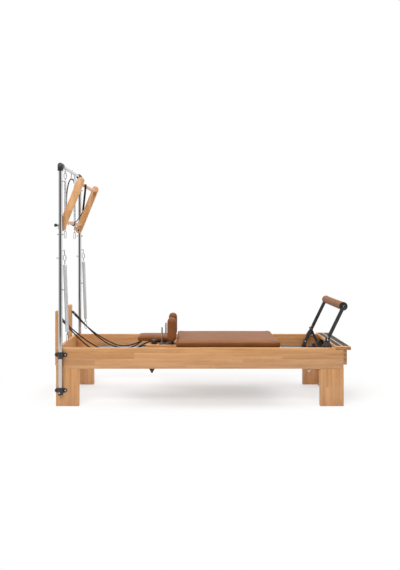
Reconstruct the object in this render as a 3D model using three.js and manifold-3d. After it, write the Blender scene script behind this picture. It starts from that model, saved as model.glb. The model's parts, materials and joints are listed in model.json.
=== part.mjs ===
// Pilates reformer with a half trapeze tower, in millimetres, +Z up.
// +X runs from the head end to the foot end, +Y away from the viewer's side, Z is 0 on the floor.
import * as THREE from 'three';
import { mergeVertices } from 'three/addons/utils/BufferGeometryUtils.js';
import Module from 'manifold-3d';

const wasm = await Module();
wasm.setup();

// Clearances and facet counts
const gap = 0.3;
const pinGap = 0.4;
const overrun = 2;
const bite = 2;
const roundSides = 20;
const smallSides = 12;
const arcSteps = 6;
const ringSides = 5;
const ringSteps = 10;
const wireSides = 5;
const cordSides = 8;
const curlSteps = 8;
const pulleyTurnStep = 30;
const padFacets = [12, 8, 4];
const headrestFacets = [8, 6, 4];
const restFacets = [4, 6, 8];

// Wooden frame
const frame = {
  foot: 2367, width: 695, bottom: 304, top: 472, railThick: 35, crossThick: 27, crossBottom: 338 };
const halfWidth = frame.width / 2;
const innerFace = halfWidth - frame.railThick;
const platform = { length: 120, top: 484, thick: 27, overhang: 33 };
const headLeg = { length: 187, endThick: 20, endWidth: 110 };
const footLeg = { startIn: 217, endIn: 26, endThick: 55, endWidth: 140 };

// Aluminium tracks and the spring bar between the rails
const track = { start: 215, endIn: 242, width: 50, top: 372, height: 28 };
const springBar = { startIn: 187, width: 32, bottom: 306, height: 28 };

// Riser posts with their rope pulleys
const riser = { thick: 31.7, width: 60, offsetY: 219, bottom: 310, top: 761 };
const pulley = {
  x: 42, drop: 99, eyeX: 4, eyeDrop: 58, turn: 20, core: 10.5, flange: 19, half: 7.2, groove: 6, pin: 3 };
const pulleyZ = riser.top - pulley.drop;
const pulleyEyeZ = riser.top - pulley.eyeDrop;
const block = { cheek: 2, half: 8, nose: 8, tail: 50, bridge: 27, eye: 4, reach: 12 };

// Tower tubes, corner fittings and clamps
const tower = { x: 42, radius: 16, wall: 2, bottom: 124, crossbarZ: 1955, crossbarRadius: 14 };
const elbow = { radius: 23, skirt: 44, insert: 26, nose: 52 };
const clamp = { plate: 4, lobe: 35, lobeHalf: 16.5, ring: 21 };
const upperClamp = { low: 391, high: 445.5, lobeZ: 420 };
const lowerCup = { low: 98, high: 158, lobeZ: 130 };
const eye = { ring: 6, wire: 2, shank: 3 };
const springEye = { z: 1265, standOff: 32.5 };
const spareEyeZ = 1203;
const hangEye = { offsetY: 180, drop: 26, x: 36 };
const strapEye = { y: 20, drop: 52 };

// Push through bar with its boards, dowels and pull pins
const bar = {
  pivotZ: 1450, length: 418, lean: 22.2, halfWidth: 28, thick: 30, pin: 7, boss: 15, bossLength: 7 };
const dowel = { topRadius: 15, lowRadius: 14, topAt: 394, lowAt: 53 };
const pull = { x: 4.3, z: 1471, ball: 14, stem: 4, bush: 9, bushLength: 7 };

// Springs that hang on the tower, measured down from the eye that each one hangs on
const sideSpring = {
  coilTop: 108, coilEnd: 662, radius: 13.4, wire: 1.6, curls: 16, end: 747, lean: 2, hook: 9 };
const topSpring = {
  coilTop: 72, coilEnd: 487, radius: 8.8, wire: 1.2, curls: 12, end: 561, lean: 0, hook: 8 };
const hookStart = 18;

// Carriage
const carriage = {
  headLength: 248, shoulder: 966, endIn: 524, bottom: 444, top: 468, headHalf: 190, sideIn: 17.5 };
const carriageStart = carriage.shoulder - carriage.headLength;
const carriageEnd = frame.foot - carriage.endIn;
const carriageHalf = innerFace - carriage.sideIn;
const axle = { frontIn: 44, rearIn: 123, radius: 6 };
const frontAxleX = carriage.shoulder + axle.frontIn;
const rearAxleX = carriageEnd - axle.rearIn;
const wheel = { radius: 22, innerIn: 35.5, outerIn: 15.5 };
const wheelInner = innerFace - wheel.innerIn;
const wheelOuter = innerFace - wheel.outerIn;
const lug = { half: 12, innerIn: 68.5, outerIn: 56.5, below: 11 };
const rib = { backIn: 353, thick: 20, halfWidth: 190, bottom: 306 };
const ribX = carriageEnd - rib.backIn;
const pad = { startIn: 5, height: 45, edge: 9, crown: 4, pull: 4 };
const headrest = {
  startOut: 335, endOut: 41, halfWidth: 100, low: 485, high: 528, edge: 12, crown: 3, pull: 3 };
const hinge = { out: 57, z: 476, pin: 3.5, ear: 6, earHalf: 7, knuckleHalf: 40, knuckle: 7 };
const headHingeX = carriage.shoulder - hinge.out;
const prop = { out: 221, half: 10, halfWidth: 60 };
const plate = { startOut: 139, endPast: 4, inner: 108, outer: 172, height: 7 };
const peg = { out: 104.5, stagger: 10.5, y: 128, radius: 7, top: 610 };
const rest = { out: 27, y: 158, thick: 78, width: 100, low: 490, high: 696, edge: 37, pull: 2 };
const restX = carriage.shoulder - rest.out;
const stem = { radius: 8, top: 538, collar: 15 };
const knob = { out: 180, y: 140, foot: 14, head: 25, height: 44, lip: 10 };
const carriageSpring = { radius: 12, offsets: [-120, 0, 120] };

// Footbar with its props and brackets
const arm = {
  pivotIn: 200, z: 411, rollIn: 9, rollZ: 804, halfWidth: 14, below: 52, innerIn: 34.5, outerIn: 24.5 };
const pivotX = frame.foot - arm.pivotIn;
const rollX = frame.foot - arm.rollIn;
const armInner = innerFace - arm.innerIn;
const armOuter = innerFace - arm.outerIn;
const roll = { radius: 32, cap: 35, capThick: 6, hub: 19, hubThick: 5 };
const strut = {
  hingeIn: 146, hingeZ: 532, footIn: 72.5, footZ: 370, halfWidth: 10, pin: 4, innerIn: 21.5, outerIn: 13.5 };
const hingeX = frame.foot - strut.hingeIn;
const strutFootX = frame.foot - strut.footIn;
const strutInner = innerFace - strut.innerIn;
const strutOuter = innerFace - strut.outerIn;
const bracket = { tabHalf: 11, low: 335, strip: 352, high: 425, back: 6, pin: 6 };
const rack = { startIn: 167, endIn: 31, innerIn: 22.5, thick: 16, hookIn: 59, hookTop: 420 };
const rackEnd = frame.foot - rack.endIn;

// Rope route from its knob round the pulley and back to the carriage board
const ropeRadius = 5.5;
const ropeSteps = 60;
const ropeToPulley = [
  [771.7, 140, 485], [758, 140, 485], [738, 141, 485], [700, 144, 470], [650, 149, 442], [600, 155, 418],
  [545, 162, 400], [490, 168, 392], [430, 174, 398], [370, 181, 420], [300, 186, 455], [220, 191, 505],
  [144, 196, 565], [90, 199, 612], [62, 199, 641]];
const ropeFromPulley = [
  [62, 239, 641], [90, 238, 609], [144, 234, 552], [220, 228, 480], [303, 221, 420], [370, 215, 388],
  [440, 208, 368], [510, 201, 364], [582, 192, 386], [640, 183, 426], [672, 170, 450],
  [690, 165, 456], [704, 165, 456], [717.7, 165, 456]];

// Strap routes on the tower
const strapRadius = 5;
const strapSteps = 18;
const safetyStrapRoute = [
  [8, 2, 1530], [5, 0, 1600], [3, -2, 1690], [8, 0, 1777], [15, 6, 1830], [24, 14, 1870], [36, 20, 1891.7],
  [42, 20, 1891.7], [48, 20, 1891.7], [62, 18, 1880], [70, 14, 1866]];
const barStrapRoute = [
  [211.3, -200, 1822], [211.3, -199, 1800], [208, -198, 1765], [201.5, -197, 1706], [195, -194, 1650],
  [187, -184, 1606], [160, -122, 1572], [132, -74, 1548], [110, -26, 1533], [93, -3, 1520.4],
  [84, -2, 1514.2], [74.1, -2, 1507.3]];

// Derived places
const headX = -gap - riser.thick;
const footX = frame.foot + platform.overhang;
const originX = (headX + footX) / 2;
const tubeY = halfWidth + gap + clamp.plate + gap + tower.radius;
const degree = Math.PI / 180;
const barPlaneOut = tubeY - tower.radius - bar.bossLength - gap;
const barPlaneIn = barPlaneOut - bar.thick;
const barLean = bar.lean * degree;

// Materials
const wood = new THREE.MeshStandardMaterial({ color: 0xd9a066, roughness: 0.45 });
const leather = new THREE.MeshStandardMaterial({ color: 0x9a5a36, roughness: 0.55 });
const blackSteel = new THREE.MeshStandardMaterial({ color: 0x1c1c1e, roughness: 0.5, metalness: 0.4 });
const chrome = new THREE.MeshStandardMaterial({ color: 0xc9ccd0, roughness: 0.15, metalness: 1 });
const aluminium = new THREE.MeshStandardMaterial({ color: 0xb9bcc0, roughness: 0.35, metalness: 1 });
const cordBlack = new THREE.MeshStandardMaterial({ color: 0x141414, roughness: 0.9 });
const plastic = new THREE.MeshStandardMaterial({ color: 0x111214, roughness: 0.4 });

// Boolean helpers
function toSolid(geometry) {
  const bare = geometry.clone();
  bare.deleteAttribute('normal');
  bare.deleteAttribute('uv');
  const merged = mergeVertices(bare, 1e-4);
  const vertProperties = Float32Array.from(merged.attributes.position.array);
  const triVerts = Uint32Array.from(merged.index.array);
  return new wasm.Manifold(new wasm.Mesh({ numProp: 3, vertProperties, triVerts }));
}

function fromSolid(solid) {
  const mesh = solid.getMesh();
  const geometry = new THREE.BufferGeometry();
  geometry.setAttribute('position', new THREE.BufferAttribute(Float32Array.from(mesh.vertProperties), 3));
  geometry.setIndex(new THREE.BufferAttribute(Uint32Array.from(mesh.triVerts), 1));
  return geometry;
}

function join(...pieces) {
  return fromSolid(pieces.map(toSolid).reduce((sum, piece) => sum.add(piece)));
}

function cut(base, ...tools) {
  return fromSolid(tools.map(toSolid).reduce((sum, tool) => sum.subtract(tool), toSolid(base)));
}

// Shape helpers
function box(x0, x1, y0, y1, z0, z1) {
  const geometry = new THREE.BoxGeometry(Math.abs(x1 - x0), Math.abs(y1 - y0), Math.abs(z1 - z0));
  return geometry.translate((x0 + x1) / 2, (y0 + y1) / 2, (z0 + z1) / 2);
}

function rod(from, to, radius, sides = roundSides) {
  const start = new THREE.Vector3(...from);
  const way = new THREE.Vector3(...to).sub(start);
  const geometry = new THREE.CylinderGeometry(radius, radius, way.length(), sides);
  const turn = new THREE.Quaternion().setFromUnitVectors(new THREE.Vector3(0, 1, 0), way.clone().normalize());
  geometry.applyQuaternion(turn);
  const middle = start.addScaledVector(way, 1 / 2);
  return geometry.translate(middle.x, middle.y, middle.z);
}

// Extrudes an outline of x, z points from y0 to y1
function slab(outline, y0, y1) {
  const shape = new THREE.Shape(outline.map(([x, z]) => new THREE.Vector2(x, z)));
  const geometry = new THREE.ExtrudeGeometry(shape, { depth: Math.abs(y1 - y0), bevelEnabled: false });
  return geometry.rotateX(Math.PI / 2).translate(0, Math.max(y0, y1), 0);
}

// Outline of a bar with round ends between two x, z points
function barOutline(x0, z0, x1, z1, half) {
  const angle = Math.atan2(z1 - z0, x1 - x0);
  const points = [];
  for (let i = 0; i <= arcSteps; i += 1) {
    const turn = angle - Math.PI / 2 + (Math.PI * i) / arcSteps;
    points.push([x1 + half * Math.cos(turn), z1 + half * Math.sin(turn)]);
  }
  for (let i = 0; i <= arcSteps; i += 1) {
    const turn = angle + Math.PI / 2 + (Math.PI * i) / arcSteps;
    points.push([x0 + half * Math.cos(turn), z0 + half * Math.sin(turn)]);
  }
  return points;
}

// A ring that stands in the XZ plane
function ringXZ(x, y, z, radius, wire) {
  const geometry = new THREE.TorusGeometry(radius, wire, ringSides, ringSteps);
  return geometry.rotateX(Math.PI / 2).translate(x, y, z);
}

// A tube of wire through points, closed with flat ends or closed on itself
function wireTube(points, radius, sides, closed = false) {
  const count = points.length;
  const positions = [];
  const index = [];
  let normal = null;
  let lastWay = null;
  for (let i = 0; i < count; i += 1) {
    const before = points[closed ? (i + count - 1) % count : Math.max(i - 1, 0)];
    const after = points[closed ? (i + 1) % count : Math.min(i + 1, count - 1)];
    const way = after.clone().sub(before).normalize();
    if (normal === null) {
      const aside = Math.abs(way.y) > 1 / 2 ? new THREE.Vector3(1, 0, 0) : new THREE.Vector3(0, 1, 0);
      normal = aside.sub(way.clone().multiplyScalar(aside.dot(way))).normalize();
    } else {
      normal.applyQuaternion(new THREE.Quaternion().setFromUnitVectors(lastWay, way)).normalize();
    }
    lastWay = way;
    const side = way.clone().cross(normal);
    for (let k = 0; k < sides; k += 1) {
      const turn = (2 * Math.PI * k) / sides;
      const out = normal.clone().multiplyScalar(Math.cos(turn)).addScaledVector(side, Math.sin(turn));
      positions.push(...points[i].clone().addScaledVector(out, radius).toArray());
    }
  }
  const rings = closed ? count : count - 1;
  for (let i = 0; i < rings; i += 1) {
    const here = i * sides;
    const next = ((i + 1) % count) * sides;
    for (let k = 0; k < sides; k += 1) {
      const step = (k + 1) % sides;
      index.push(here + k, here + step, next + k);
      index.push(here + step, next + step, next + k);
    }
  }
  if (!closed) {
    const last = (count - 1) * sides;
    for (let k = 1; k < sides - 1; k += 1) {
      index.push(0, k + 1, k);
      index.push(last, last + k, last + k + 1);
    }
  }
  const geometry = new THREE.BufferGeometry();
  geometry.setAttribute('position', new THREE.Float32BufferAttribute(positions, 3));
  geometry.setIndex(index);
  return geometry;
}

// Points of a coil that runs down from zTop to zEnd, with straight ends on its axis
function coilPoints(zStart, zTop, zEnd, zFinish, radius, curls, lead) {
  const points = [new THREE.Vector3(0, 0, -zStart), new THREE.Vector3(0, 0, -zTop + lead)];
  const steps = curls * curlSteps;
  for (let i = 0; i <= steps; i += 1) {
    const turn = (2 * Math.PI * i) / curlSteps;
    const z = zTop + ((zEnd - zTop) * i) / steps;
    points.push(new THREE.Vector3(radius * Math.cos(turn), radius * Math.sin(turn), -z));
  }
  points.push(new THREE.Vector3(0, 0, -zEnd - lead), new THREE.Vector3(0, 0, -zFinish));
  return points;
}

// Least distance between turns of a coil, measured between points that aren't close along the wire
function leastGap(points, wire) {
  let least = Infinity;
  for (let i = 0; i < points.length; i += 1) {
    for (let j = i + curlSteps - 2; j < points.length; j += 1) {
      least = Math.min(least, points[i].distanceTo(points[j]) - 2 * wire);
    }
  }
  return least;
}

// Oblong ring that links a spring to its eye, or closes its lower end
function oblongRing(zTop, zEnd, half, wire) {
  const points = [];
  const middleTop = zTop + half;
  const middleEnd = zEnd - half;
  for (let i = 0; i <= ringSides; i += 1) {
    const turn = (Math.PI * i) / ringSides;
    points.push(new THREE.Vector3(half * Math.cos(turn), 0, -middleTop + half * Math.sin(turn)));
  }
  for (let i = 0; i <= ringSides; i += 1) {
    const turn = Math.PI + (Math.PI * i) / ringSides;
    points.push(new THREE.Vector3(half * Math.cos(turn), 0, -middleEnd + half * Math.sin(turn)));
  }
  return wireTube(points, wire, ringSides, true);
}

// Cushion with round edges, a crown on top and sides that draw in between its corners
function cushion(sizeX, sizeY, sizeZ, edge, crown, pullIn, facets) {
  const geometry = new THREE.BoxGeometry(sizeX, sizeY, sizeZ, ...facets);
  const place = geometry.attributes.position;
  const half = [sizeX / 2, sizeY / 2, sizeZ / 2];
  const point = new THREE.Vector3();
  const core = new THREE.Vector3();
  for (let i = 0; i < place.count; i += 1) {
    point.fromBufferAttribute(place, i);
    const share = [point.x / half[0], point.y / half[1], point.z / half[2]];
    core.set(
      THREE.MathUtils.clamp(point.x, edge - half[0], half[0] - edge),
      THREE.MathUtils.clamp(point.y, edge - half[1], half[1] - edge),
      THREE.MathUtils.clamp(point.z, edge - half[2], half[2] - edge));
    const out = point.clone().sub(core);
    if (out.lengthSq() > 0) {
      out.setLength(edge);
      point.copy(core).add(out);
    }
    point.x -= Math.sign(share[0]) * pullIn * share[0] ** 4 * (1 - share[1] ** 4);
    point.y -= Math.sign(share[1]) * pullIn * share[1] ** 4 * (1 - share[0] ** 4);
    if (share[2] > 0) {
      point.z += crown * share[2] * (1 - share[0] ** 2) * (1 - share[1] ** 2) - crown;
    }
    place.setXYZ(i, point.x, point.y, point.z);
  }
  return geometry;
}

// The whole unit, shifted so that its origin is at the middle of its footprint
const unit = new THREE.Group();
unit.position.x = -originX;

function add(name, geometry, material, parent = unit) {
  const mesh = new THREE.Mesh(geometry, material);
  mesh.name = name;
  parent.add(mesh);
  return mesh;
}

const sides = [['near', -1], ['far', 1]];

function addFrame() {
  const deck = frame.foot + platform.overhang - platform.length;
  const deckUnder = platform.top - platform.thick;
  for (const [label, s] of sides) {
    const rail = box(frame.crossThick + gap, frame.foot - frame.crossThick - gap,
      s * innerFace, s * halfWidth, frame.bottom, frame.top);
    const rebate = box(deck - gap, frame.foot, s * (innerFace - overrun), s * (halfWidth + overrun),
      deckUnder - gap, frame.top + overrun);
    add(`side_rail_${label}`, cut(rail, rebate), wood);
    add(`track_${label}`, box(track.start, frame.foot - track.endIn,
      s * (innerFace - gap - track.width), s * (innerFace - gap),
      track.top - track.height, track.top), aluminium);
    addLeg(`leg_head_${label}`, 0, headLeg.length, headLeg, s);
    addLeg(`leg_foot_${label}`, frame.foot - footLeg.endIn, frame.foot - footLeg.startIn, footLeg, s);
  }
  add('head_cross_board', box(0, frame.crossThick, -halfWidth, halfWidth, frame.bottom, frame.top), wood);
  add('foot_cross_board', box(frame.foot - frame.crossThick, frame.foot, -halfWidth, halfWidth,
    frame.crossBottom, deckUnder - gap), wood);
  add('foot_platform', box(deck, footX, -halfWidth, halfWidth, deckUnder, platform.top), wood);
  const springBarX = frame.foot - springBar.startIn;
  add('spring_bar', box(springBarX, springBarX + springBar.width, gap - innerFace, innerFace - gap,
    springBar.bottom, springBar.bottom + springBar.height), blackSteel);
}

// A leg is a side board and an end board in the shape of an L, with its end board at endX
function addLeg(name, endX, farX, size, s) {
  const way = Math.sign(farX - endX);
  const shape = new THREE.Shape([
    new THREE.Vector2(endX, s * halfWidth),
    new THREE.Vector2(farX, s * halfWidth),
    new THREE.Vector2(farX, s * innerFace),
    new THREE.Vector2(endX + way * size.endThick, s * innerFace),
    new THREE.Vector2(endX + way * size.endThick, s * (halfWidth - size.endWidth)),
    new THREE.Vector2(endX, s * (halfWidth - size.endWidth))]);
  add(name, new THREE.ExtrudeGeometry(shape, { depth: frame.bottom - gap, bevelEnabled: false }), wood);
}

// The pulley's own axes: along the rope, across it and along its pin
const ropeWay = new THREE.Vector3(pulley.x - pulley.eyeX, 0, pulleyZ - pulleyEyeZ).normalize();
const pinWay = new THREE.Vector3(-ropeWay.z, 0, ropeWay.x);

function pulleyFrame(s) {
  const across = pinWay.clone().cross(ropeWay);
  const turn = new THREE.Matrix4().makeBasis(ropeWay, across, pinWay);
  return turn.setPosition(pulley.x, s * riser.offsetY, pulleyZ);
}

function addRiser(label, s) {
  const y = s * riser.offsetY;
  const post = box(headX, -gap, y - riser.width / 2, y + riser.width / 2, riser.bottom, riser.top);
  const inner = pulley.half + gap;
  const outer = inner + block.cheek;
  const upper = box(-block.tail, block.nose, -block.half, block.half, inner, outer);
  const lower = box(-block.tail, block.nose, -block.half, block.half, -outer, -inner);
  const bridge = box(-block.tail, -block.bridge, -block.half, block.half, -outer, outer);
  const pin = rod([0, 0, -outer], [0, 0, outer], pulley.pin, smallSides);
  const shank = rod([-block.tail - block.reach, 0, 0], [-block.tail + bite, 0, 0], block.eye, smallSides);
  const holder = join(upper, lower, bridge, pin, shank).applyMatrix4(pulleyFrame(s));
  add(`riser_post_${label}`, join(post, holder), wood);
  const profile = [
    [pulley.pin + pinGap, -pulley.half], [pulley.flange, -pulley.half], [pulley.flange, -pulley.groove],
    [pulley.core, -pulley.groove], [pulley.core, pulley.groove], [pulley.flange, pulley.groove],
    [pulley.flange, pulley.half], [pulley.pin + pinGap, pulley.half], [pulley.pin + pinGap, -pulley.half]];
  const sheave = new THREE.LatheGeometry(profile.map(([r, h]) => new THREE.Vector2(r, h)), smallSides);
  sheave.rotateX(Math.PI / 2);
  add(`rope_sheave_${label}`, sheave.applyMatrix4(pulleyFrame(s)), plastic);
}

function addTowerSide(label, s) {
  const y = s * tubeY;
  const top = tower.crossbarZ - elbow.radius + elbow.insert - bite;
  const bore = tower.radius - tower.wall;
  const ringProfile = [[bore, tower.bottom], [tower.radius, tower.bottom], [tower.radius, top], [bore, top],
    [bore, tower.bottom]];
  const tube = new THREE.LatheGeometry(ringProfile.map(([r, h]) => new THREE.Vector2(r, h)), roundSides);
  tube.rotateX(Math.PI / 2).translate(tower.x, y, 0);
  const wallIn = s * (tubeY - tower.radius + tower.wall / 2);
  const boss = rod([tower.x, wallIn, bar.pivotZ], [tower.x, s * (barPlaneOut + gap), bar.pivotZ], bar.boss);
  const pin = rod([tower.x, wallIn, bar.pivotZ], [tower.x, s * barPlaneIn, bar.pivotZ], bar.pin);
  const eyeX = tower.x + springEye.standOff;
  const shank = rod([tower.x + bore, y, springEye.z], [eyeX - eye.ring, y, springEye.z], eye.shank, smallSides);
  const ring = ringXZ(eyeX, y, springEye.z, eye.ring, eye.wire);
  const spareX = tower.x - tower.radius - eye.ring - eye.wire;
  const spareRing = ringXZ(spareX, y, spareEyeZ, eye.ring, eye.wire);
  const spareShank = rod([spareX + eye.ring, y, spareEyeZ], [tower.x - bore, y, spareEyeZ], eye.shank,
    smallSides);
  const bushEnd = tower.x - tower.radius - pull.bushLength;
  const bush = cut(rod([bushEnd, y, pull.z], [tower.x - bore, y, pull.z], pull.bush),
    rod([bushEnd - overrun, y, pull.z], [tower.x - tower.radius, y, pull.z], pull.stem + pinGap));
  add(`upright_${label}`, join(tube, boss, pin, shank, ring, spareRing, spareShank, bush), chrome);
  const stemStart = tower.x - tower.radius - gap;
  const grip = new THREE.SphereGeometry(pull.ball, smallSides, arcSteps).translate(pull.x, y, pull.z);
  const stalk = rod([pull.x, y, pull.z], [stemStart, y, pull.z], pull.stem, smallSides);
  add(`pull_knob_${label}`, join(grip, stalk), plastic);

  // Corner fitting, a socket down and a socket inward
  const skirtEnd = tower.crossbarZ - elbow.skirt;
  const noseEnd = tubeY - elbow.nose;
  const down = rod([tower.x, y, skirtEnd], [tower.x, y, tower.crossbarZ], elbow.radius);
  const inward = rod([tower.x, y, tower.crossbarZ], [tower.x, s * noseEnd, tower.crossbarZ], elbow.radius);
  const ball = new THREE.SphereGeometry(elbow.radius, roundSides, arcSteps);
  ball.rotateX(Math.PI / 2).translate(tower.x, y, tower.crossbarZ);
  const tubeSocket = rod([tower.x, y, skirtEnd - overrun], [tower.x, y, top + gap], tower.radius + pinGap);
  const barEnd = s * (noseEnd + elbow.insert);
  const barSocket = rod([tower.x, s * (noseEnd - overrun), tower.crossbarZ], [tower.x, barEnd, tower.crossbarZ],
    tower.crossbarRadius + pinGap);
  add(`corner_fitting_${label}`, cut(join(down, inward, ball), tubeSocket, barSocket), plastic);

  addClamp(`upper_clamp_${label}`, s, upperClamp, upperClamp.low - overrun);
  addClamp(`lower_cup_${label}`, s, lowerCup, tower.bottom - gap);
}

// A plate with two round ears on the wood and a ring round the tube, bored from boreStart upward
function addClamp(name, s, { low, high, lobeZ }, boreStart) {
  const ears = slab(barOutline(tower.x - clamp.lobe, lobeZ, tower.x + clamp.lobe, lobeZ, clamp.lobeHalf),
    s * (halfWidth + gap), s * (halfWidth + gap + clamp.plate));
  const ring = rod([tower.x, s * tubeY, low], [tower.x, s * tubeY, high], clamp.ring);
  const bore = rod([tower.x, s * tubeY, boreStart], [tower.x, s * tubeY, high + overrun], tower.radius + gap);
  const woodSide = box(tower.x - clamp.ring, tower.x + clamp.ring, s * (tubeY - clamp.ring - overrun),
    s * (halfWidth + gap), low - overrun, high + overrun);
  add(name, cut(join(ears, ring), bore, woodSide), plastic);
}

function addCrossbar() {
  const end = tubeY - elbow.nose + elbow.insert - gap;
  const pieces = [rod([tower.x, -end, tower.crossbarZ], [tower.x, end, tower.crossbarZ], tower.crossbarRadius)];
  for (const [, s] of sides) {
    const y = s * hangEye.offsetY;
    const z = tower.crossbarZ - hangEye.drop;
    pieces.push(rod([tower.x, y, tower.crossbarZ], [hangEye.x, y, z + eye.ring], eye.shank, smallSides));
    pieces.push(ringXZ(hangEye.x, y, z, eye.ring, eye.wire));
  }
  const strapZ = tower.crossbarZ - strapEye.drop;
  pieces.push(rod([tower.x, strapEye.y, tower.crossbarZ], [tower.x, strapEye.y, strapZ + eye.ring],
    eye.shank, smallSides));
  pieces.push(ringXZ(tower.x, strapEye.y, strapZ, eye.ring, eye.wire));
  add('tower_crossbar', join(...pieces), chrome);
}

function barPoint(along) {
  return [tower.x + along * Math.sin(barLean), bar.pivotZ + along * Math.cos(barLean)];
}

function addPushBar() {
  const [endX, endZ] = barPoint(bar.length);
  const [topX, topZ] = barPoint(dowel.topAt);
  const [lowX, lowZ] = barPoint(dowel.lowAt);
  for (const [label, s] of sides) {
    const board = slab(barOutline(tower.x, bar.pivotZ, endX, endZ, bar.halfWidth),
      s * barPlaneIn, s * barPlaneOut);
    const bore = rod([tower.x, s * (barPlaneIn - overrun), bar.pivotZ],
      [tower.x, s * (barPlaneOut + overrun), bar.pivotZ], bar.pin + pinGap);
    add(`push_board_${label}`, cut(board, bore), wood);
  }
  const end = barPlaneIn - gap;
  add('push_dowel_top', rod([topX, -end, topZ], [topX, end, topZ], dowel.topRadius), wood);
  add('push_dowel_low', rod([lowX, -end, lowZ], [lowX, end, lowZ], dowel.lowRadius), wood);
}

// A spring that hangs on an eye, built down from the eye's centre
function hangingSpring(size, label) {
  const start = eye.ring + eye.wire + gap;
  const link = size.coilTop - size.hook;
  const points = coilPoints(link, size.coilTop, size.coilEnd, size.coilEnd + size.hook, size.radius, size.curls,
    size.hook / 2);
  console.log(`${label}: least gap between curls ${leastGap(points, size.wire).toFixed(2)} mm`);
  const coil = wireTube(points, size.wire, wireSides);
  const top = rod([0, 0, -start], [0, 0, -hookStart - size.wire], size.wire * 3 / 2, smallSides);
  const upper = oblongRing(hookStart, link + size.wire, size.hook, size.wire * 3 / 2);
  const lower = oblongRing(size.coilEnd + size.hook - size.wire, size.end, size.hook, size.wire * 3 / 2);
  return join(top, upper, coil, lower);
}

function addHangingSprings() {
  for (const [label, s] of sides) {
    const sideHanger = new THREE.Group();
    sideHanger.position.set(tower.x + springEye.standOff, s * tubeY, springEye.z);
    sideHanger.rotation.y = -sideSpring.lean * degree;
    unit.add(sideHanger);
    add(`side_spring_${label}`, hangingSpring(sideSpring, `side spring ${label}`), chrome, sideHanger);
    const topHanger = new THREE.Group();
    topHanger.position.set(hangEye.x, s * hangEye.offsetY, tower.crossbarZ - hangEye.drop);
    unit.add(topHanger);
    add(`top_spring_${label}`, hangingSpring(topSpring, `top spring ${label}`), chrome, topHanger);
  }
}

function addCarriage() {
  const wheelZ = track.top + gap + wheel.radius;
  const pieces = [
    box(carriage.shoulder, carriageEnd, -carriageHalf, carriageHalf, carriage.bottom, carriage.top),
    box(carriageStart, carriage.shoulder + bite, -carriage.headHalf, carriage.headHalf,
      carriage.bottom, carriage.top)];
  const bores = [];
  for (const x of [frontAxleX, rearAxleX]) {
    for (const [, s] of sides) {
      pieces.push(box(x - lug.half, x + lug.half, s * (innerFace - lug.innerIn), s * (innerFace - lug.outerIn),
        wheelZ - lug.below, carriage.bottom + bite));
    }
    bores.push(rod([x, -carriageHalf, wheelZ], [x, carriageHalf, wheelZ], axle.radius + pinGap));
  }
  pieces.push(box(ribX, ribX + rib.thick, -rib.halfWidth, rib.halfWidth, rib.bottom, carriage.bottom + bite));
  const body = cut(join(...pieces), ...bores);
  const ears = [];
  for (const [, s] of sides) {
    const inner = s * (hinge.knuckleHalf + gap);
    ears.push(box(headHingeX - hinge.earHalf, headHingeX + hinge.earHalf, inner,
      inner + s * hinge.ear, carriage.top - bite, hinge.z + hinge.earHalf));
  }
  const pinEnd = hinge.knuckleHalf + gap + hinge.ear;
  ears.push(rod([headHingeX, -pinEnd, hinge.z], [headHingeX, pinEnd, hinge.z], hinge.pin, smallSides));
  add('carriage_board', join(body, ...ears), wood);

  const wheelProfile = [
    [0, -wheelOuter], [wheel.radius, -wheelOuter], [wheel.radius, -wheelInner], [axle.radius, -wheelInner],
    [axle.radius, wheelInner], [wheel.radius, wheelInner], [wheel.radius, wheelOuter], [0, wheelOuter]];
  for (const [label, x] of [['head', frontAxleX], ['foot', rearAxleX]]) {
    const wheels = new THREE.LatheGeometry(wheelProfile.map(([r, h]) => new THREE.Vector2(r, h)), roundSides);
    add(`wheelset_${label}`, wheels.translate(x, 0, wheelZ), plastic);
  }

  const padStart = carriage.shoulder + pad.startIn;
  const padShape = cushion(carriageEnd - padStart, 2 * carriageHalf, pad.height + pad.crown, pad.edge,
    pad.crown, pad.pull, padFacets);
  const padFloor = carriage.top + gap + (pad.height + pad.crown) / 2;
  add('carriage_pad', padShape.translate((padStart + carriageEnd) / 2, 0, padFloor), leather);

  const headrestStart = carriage.shoulder - headrest.startOut;
  const headrestEnd = carriage.shoulder - headrest.endOut;
  const headHeight = headrest.high - headrest.low;
  const headShape = cushion(headrestEnd - headrestStart, 2 * headrest.halfWidth, headHeight, headrest.edge,
    headrest.crown, headrest.pull, headrestFacets);
  headShape.translate((headrestStart + headrestEnd) / 2, 0, (headrest.low + headrest.high) / 2);
  const barrel = rod([headHingeX, -hinge.knuckleHalf, hinge.z], [headHingeX, hinge.knuckleHalf, hinge.z],
    hinge.knuckle);
  const neck = box(headHingeX - hinge.knuckle, headHingeX + hinge.knuckle,
    -hinge.knuckleHalf, hinge.knuckleHalf, hinge.z, headrest.low + headrest.edge);
  const propX = carriage.shoulder - prop.out;
  const support = box(propX - prop.half, propX + prop.half, -prop.halfWidth, prop.halfWidth,
    carriage.top + gap, headrest.low + bite);
  const hingeBore = rod([headHingeX, -pinEnd - overrun, hinge.z], [headHingeX, pinEnd + overrun, hinge.z],
    hinge.pin + pinGap, smallSides);
  add('headrest', cut(join(headShape, barrel, neck, support), hingeBore), leather);
  for (const [label, s] of sides) {
    addShoulder(label, s);
    addKnob(label, s);
  }
}

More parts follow.
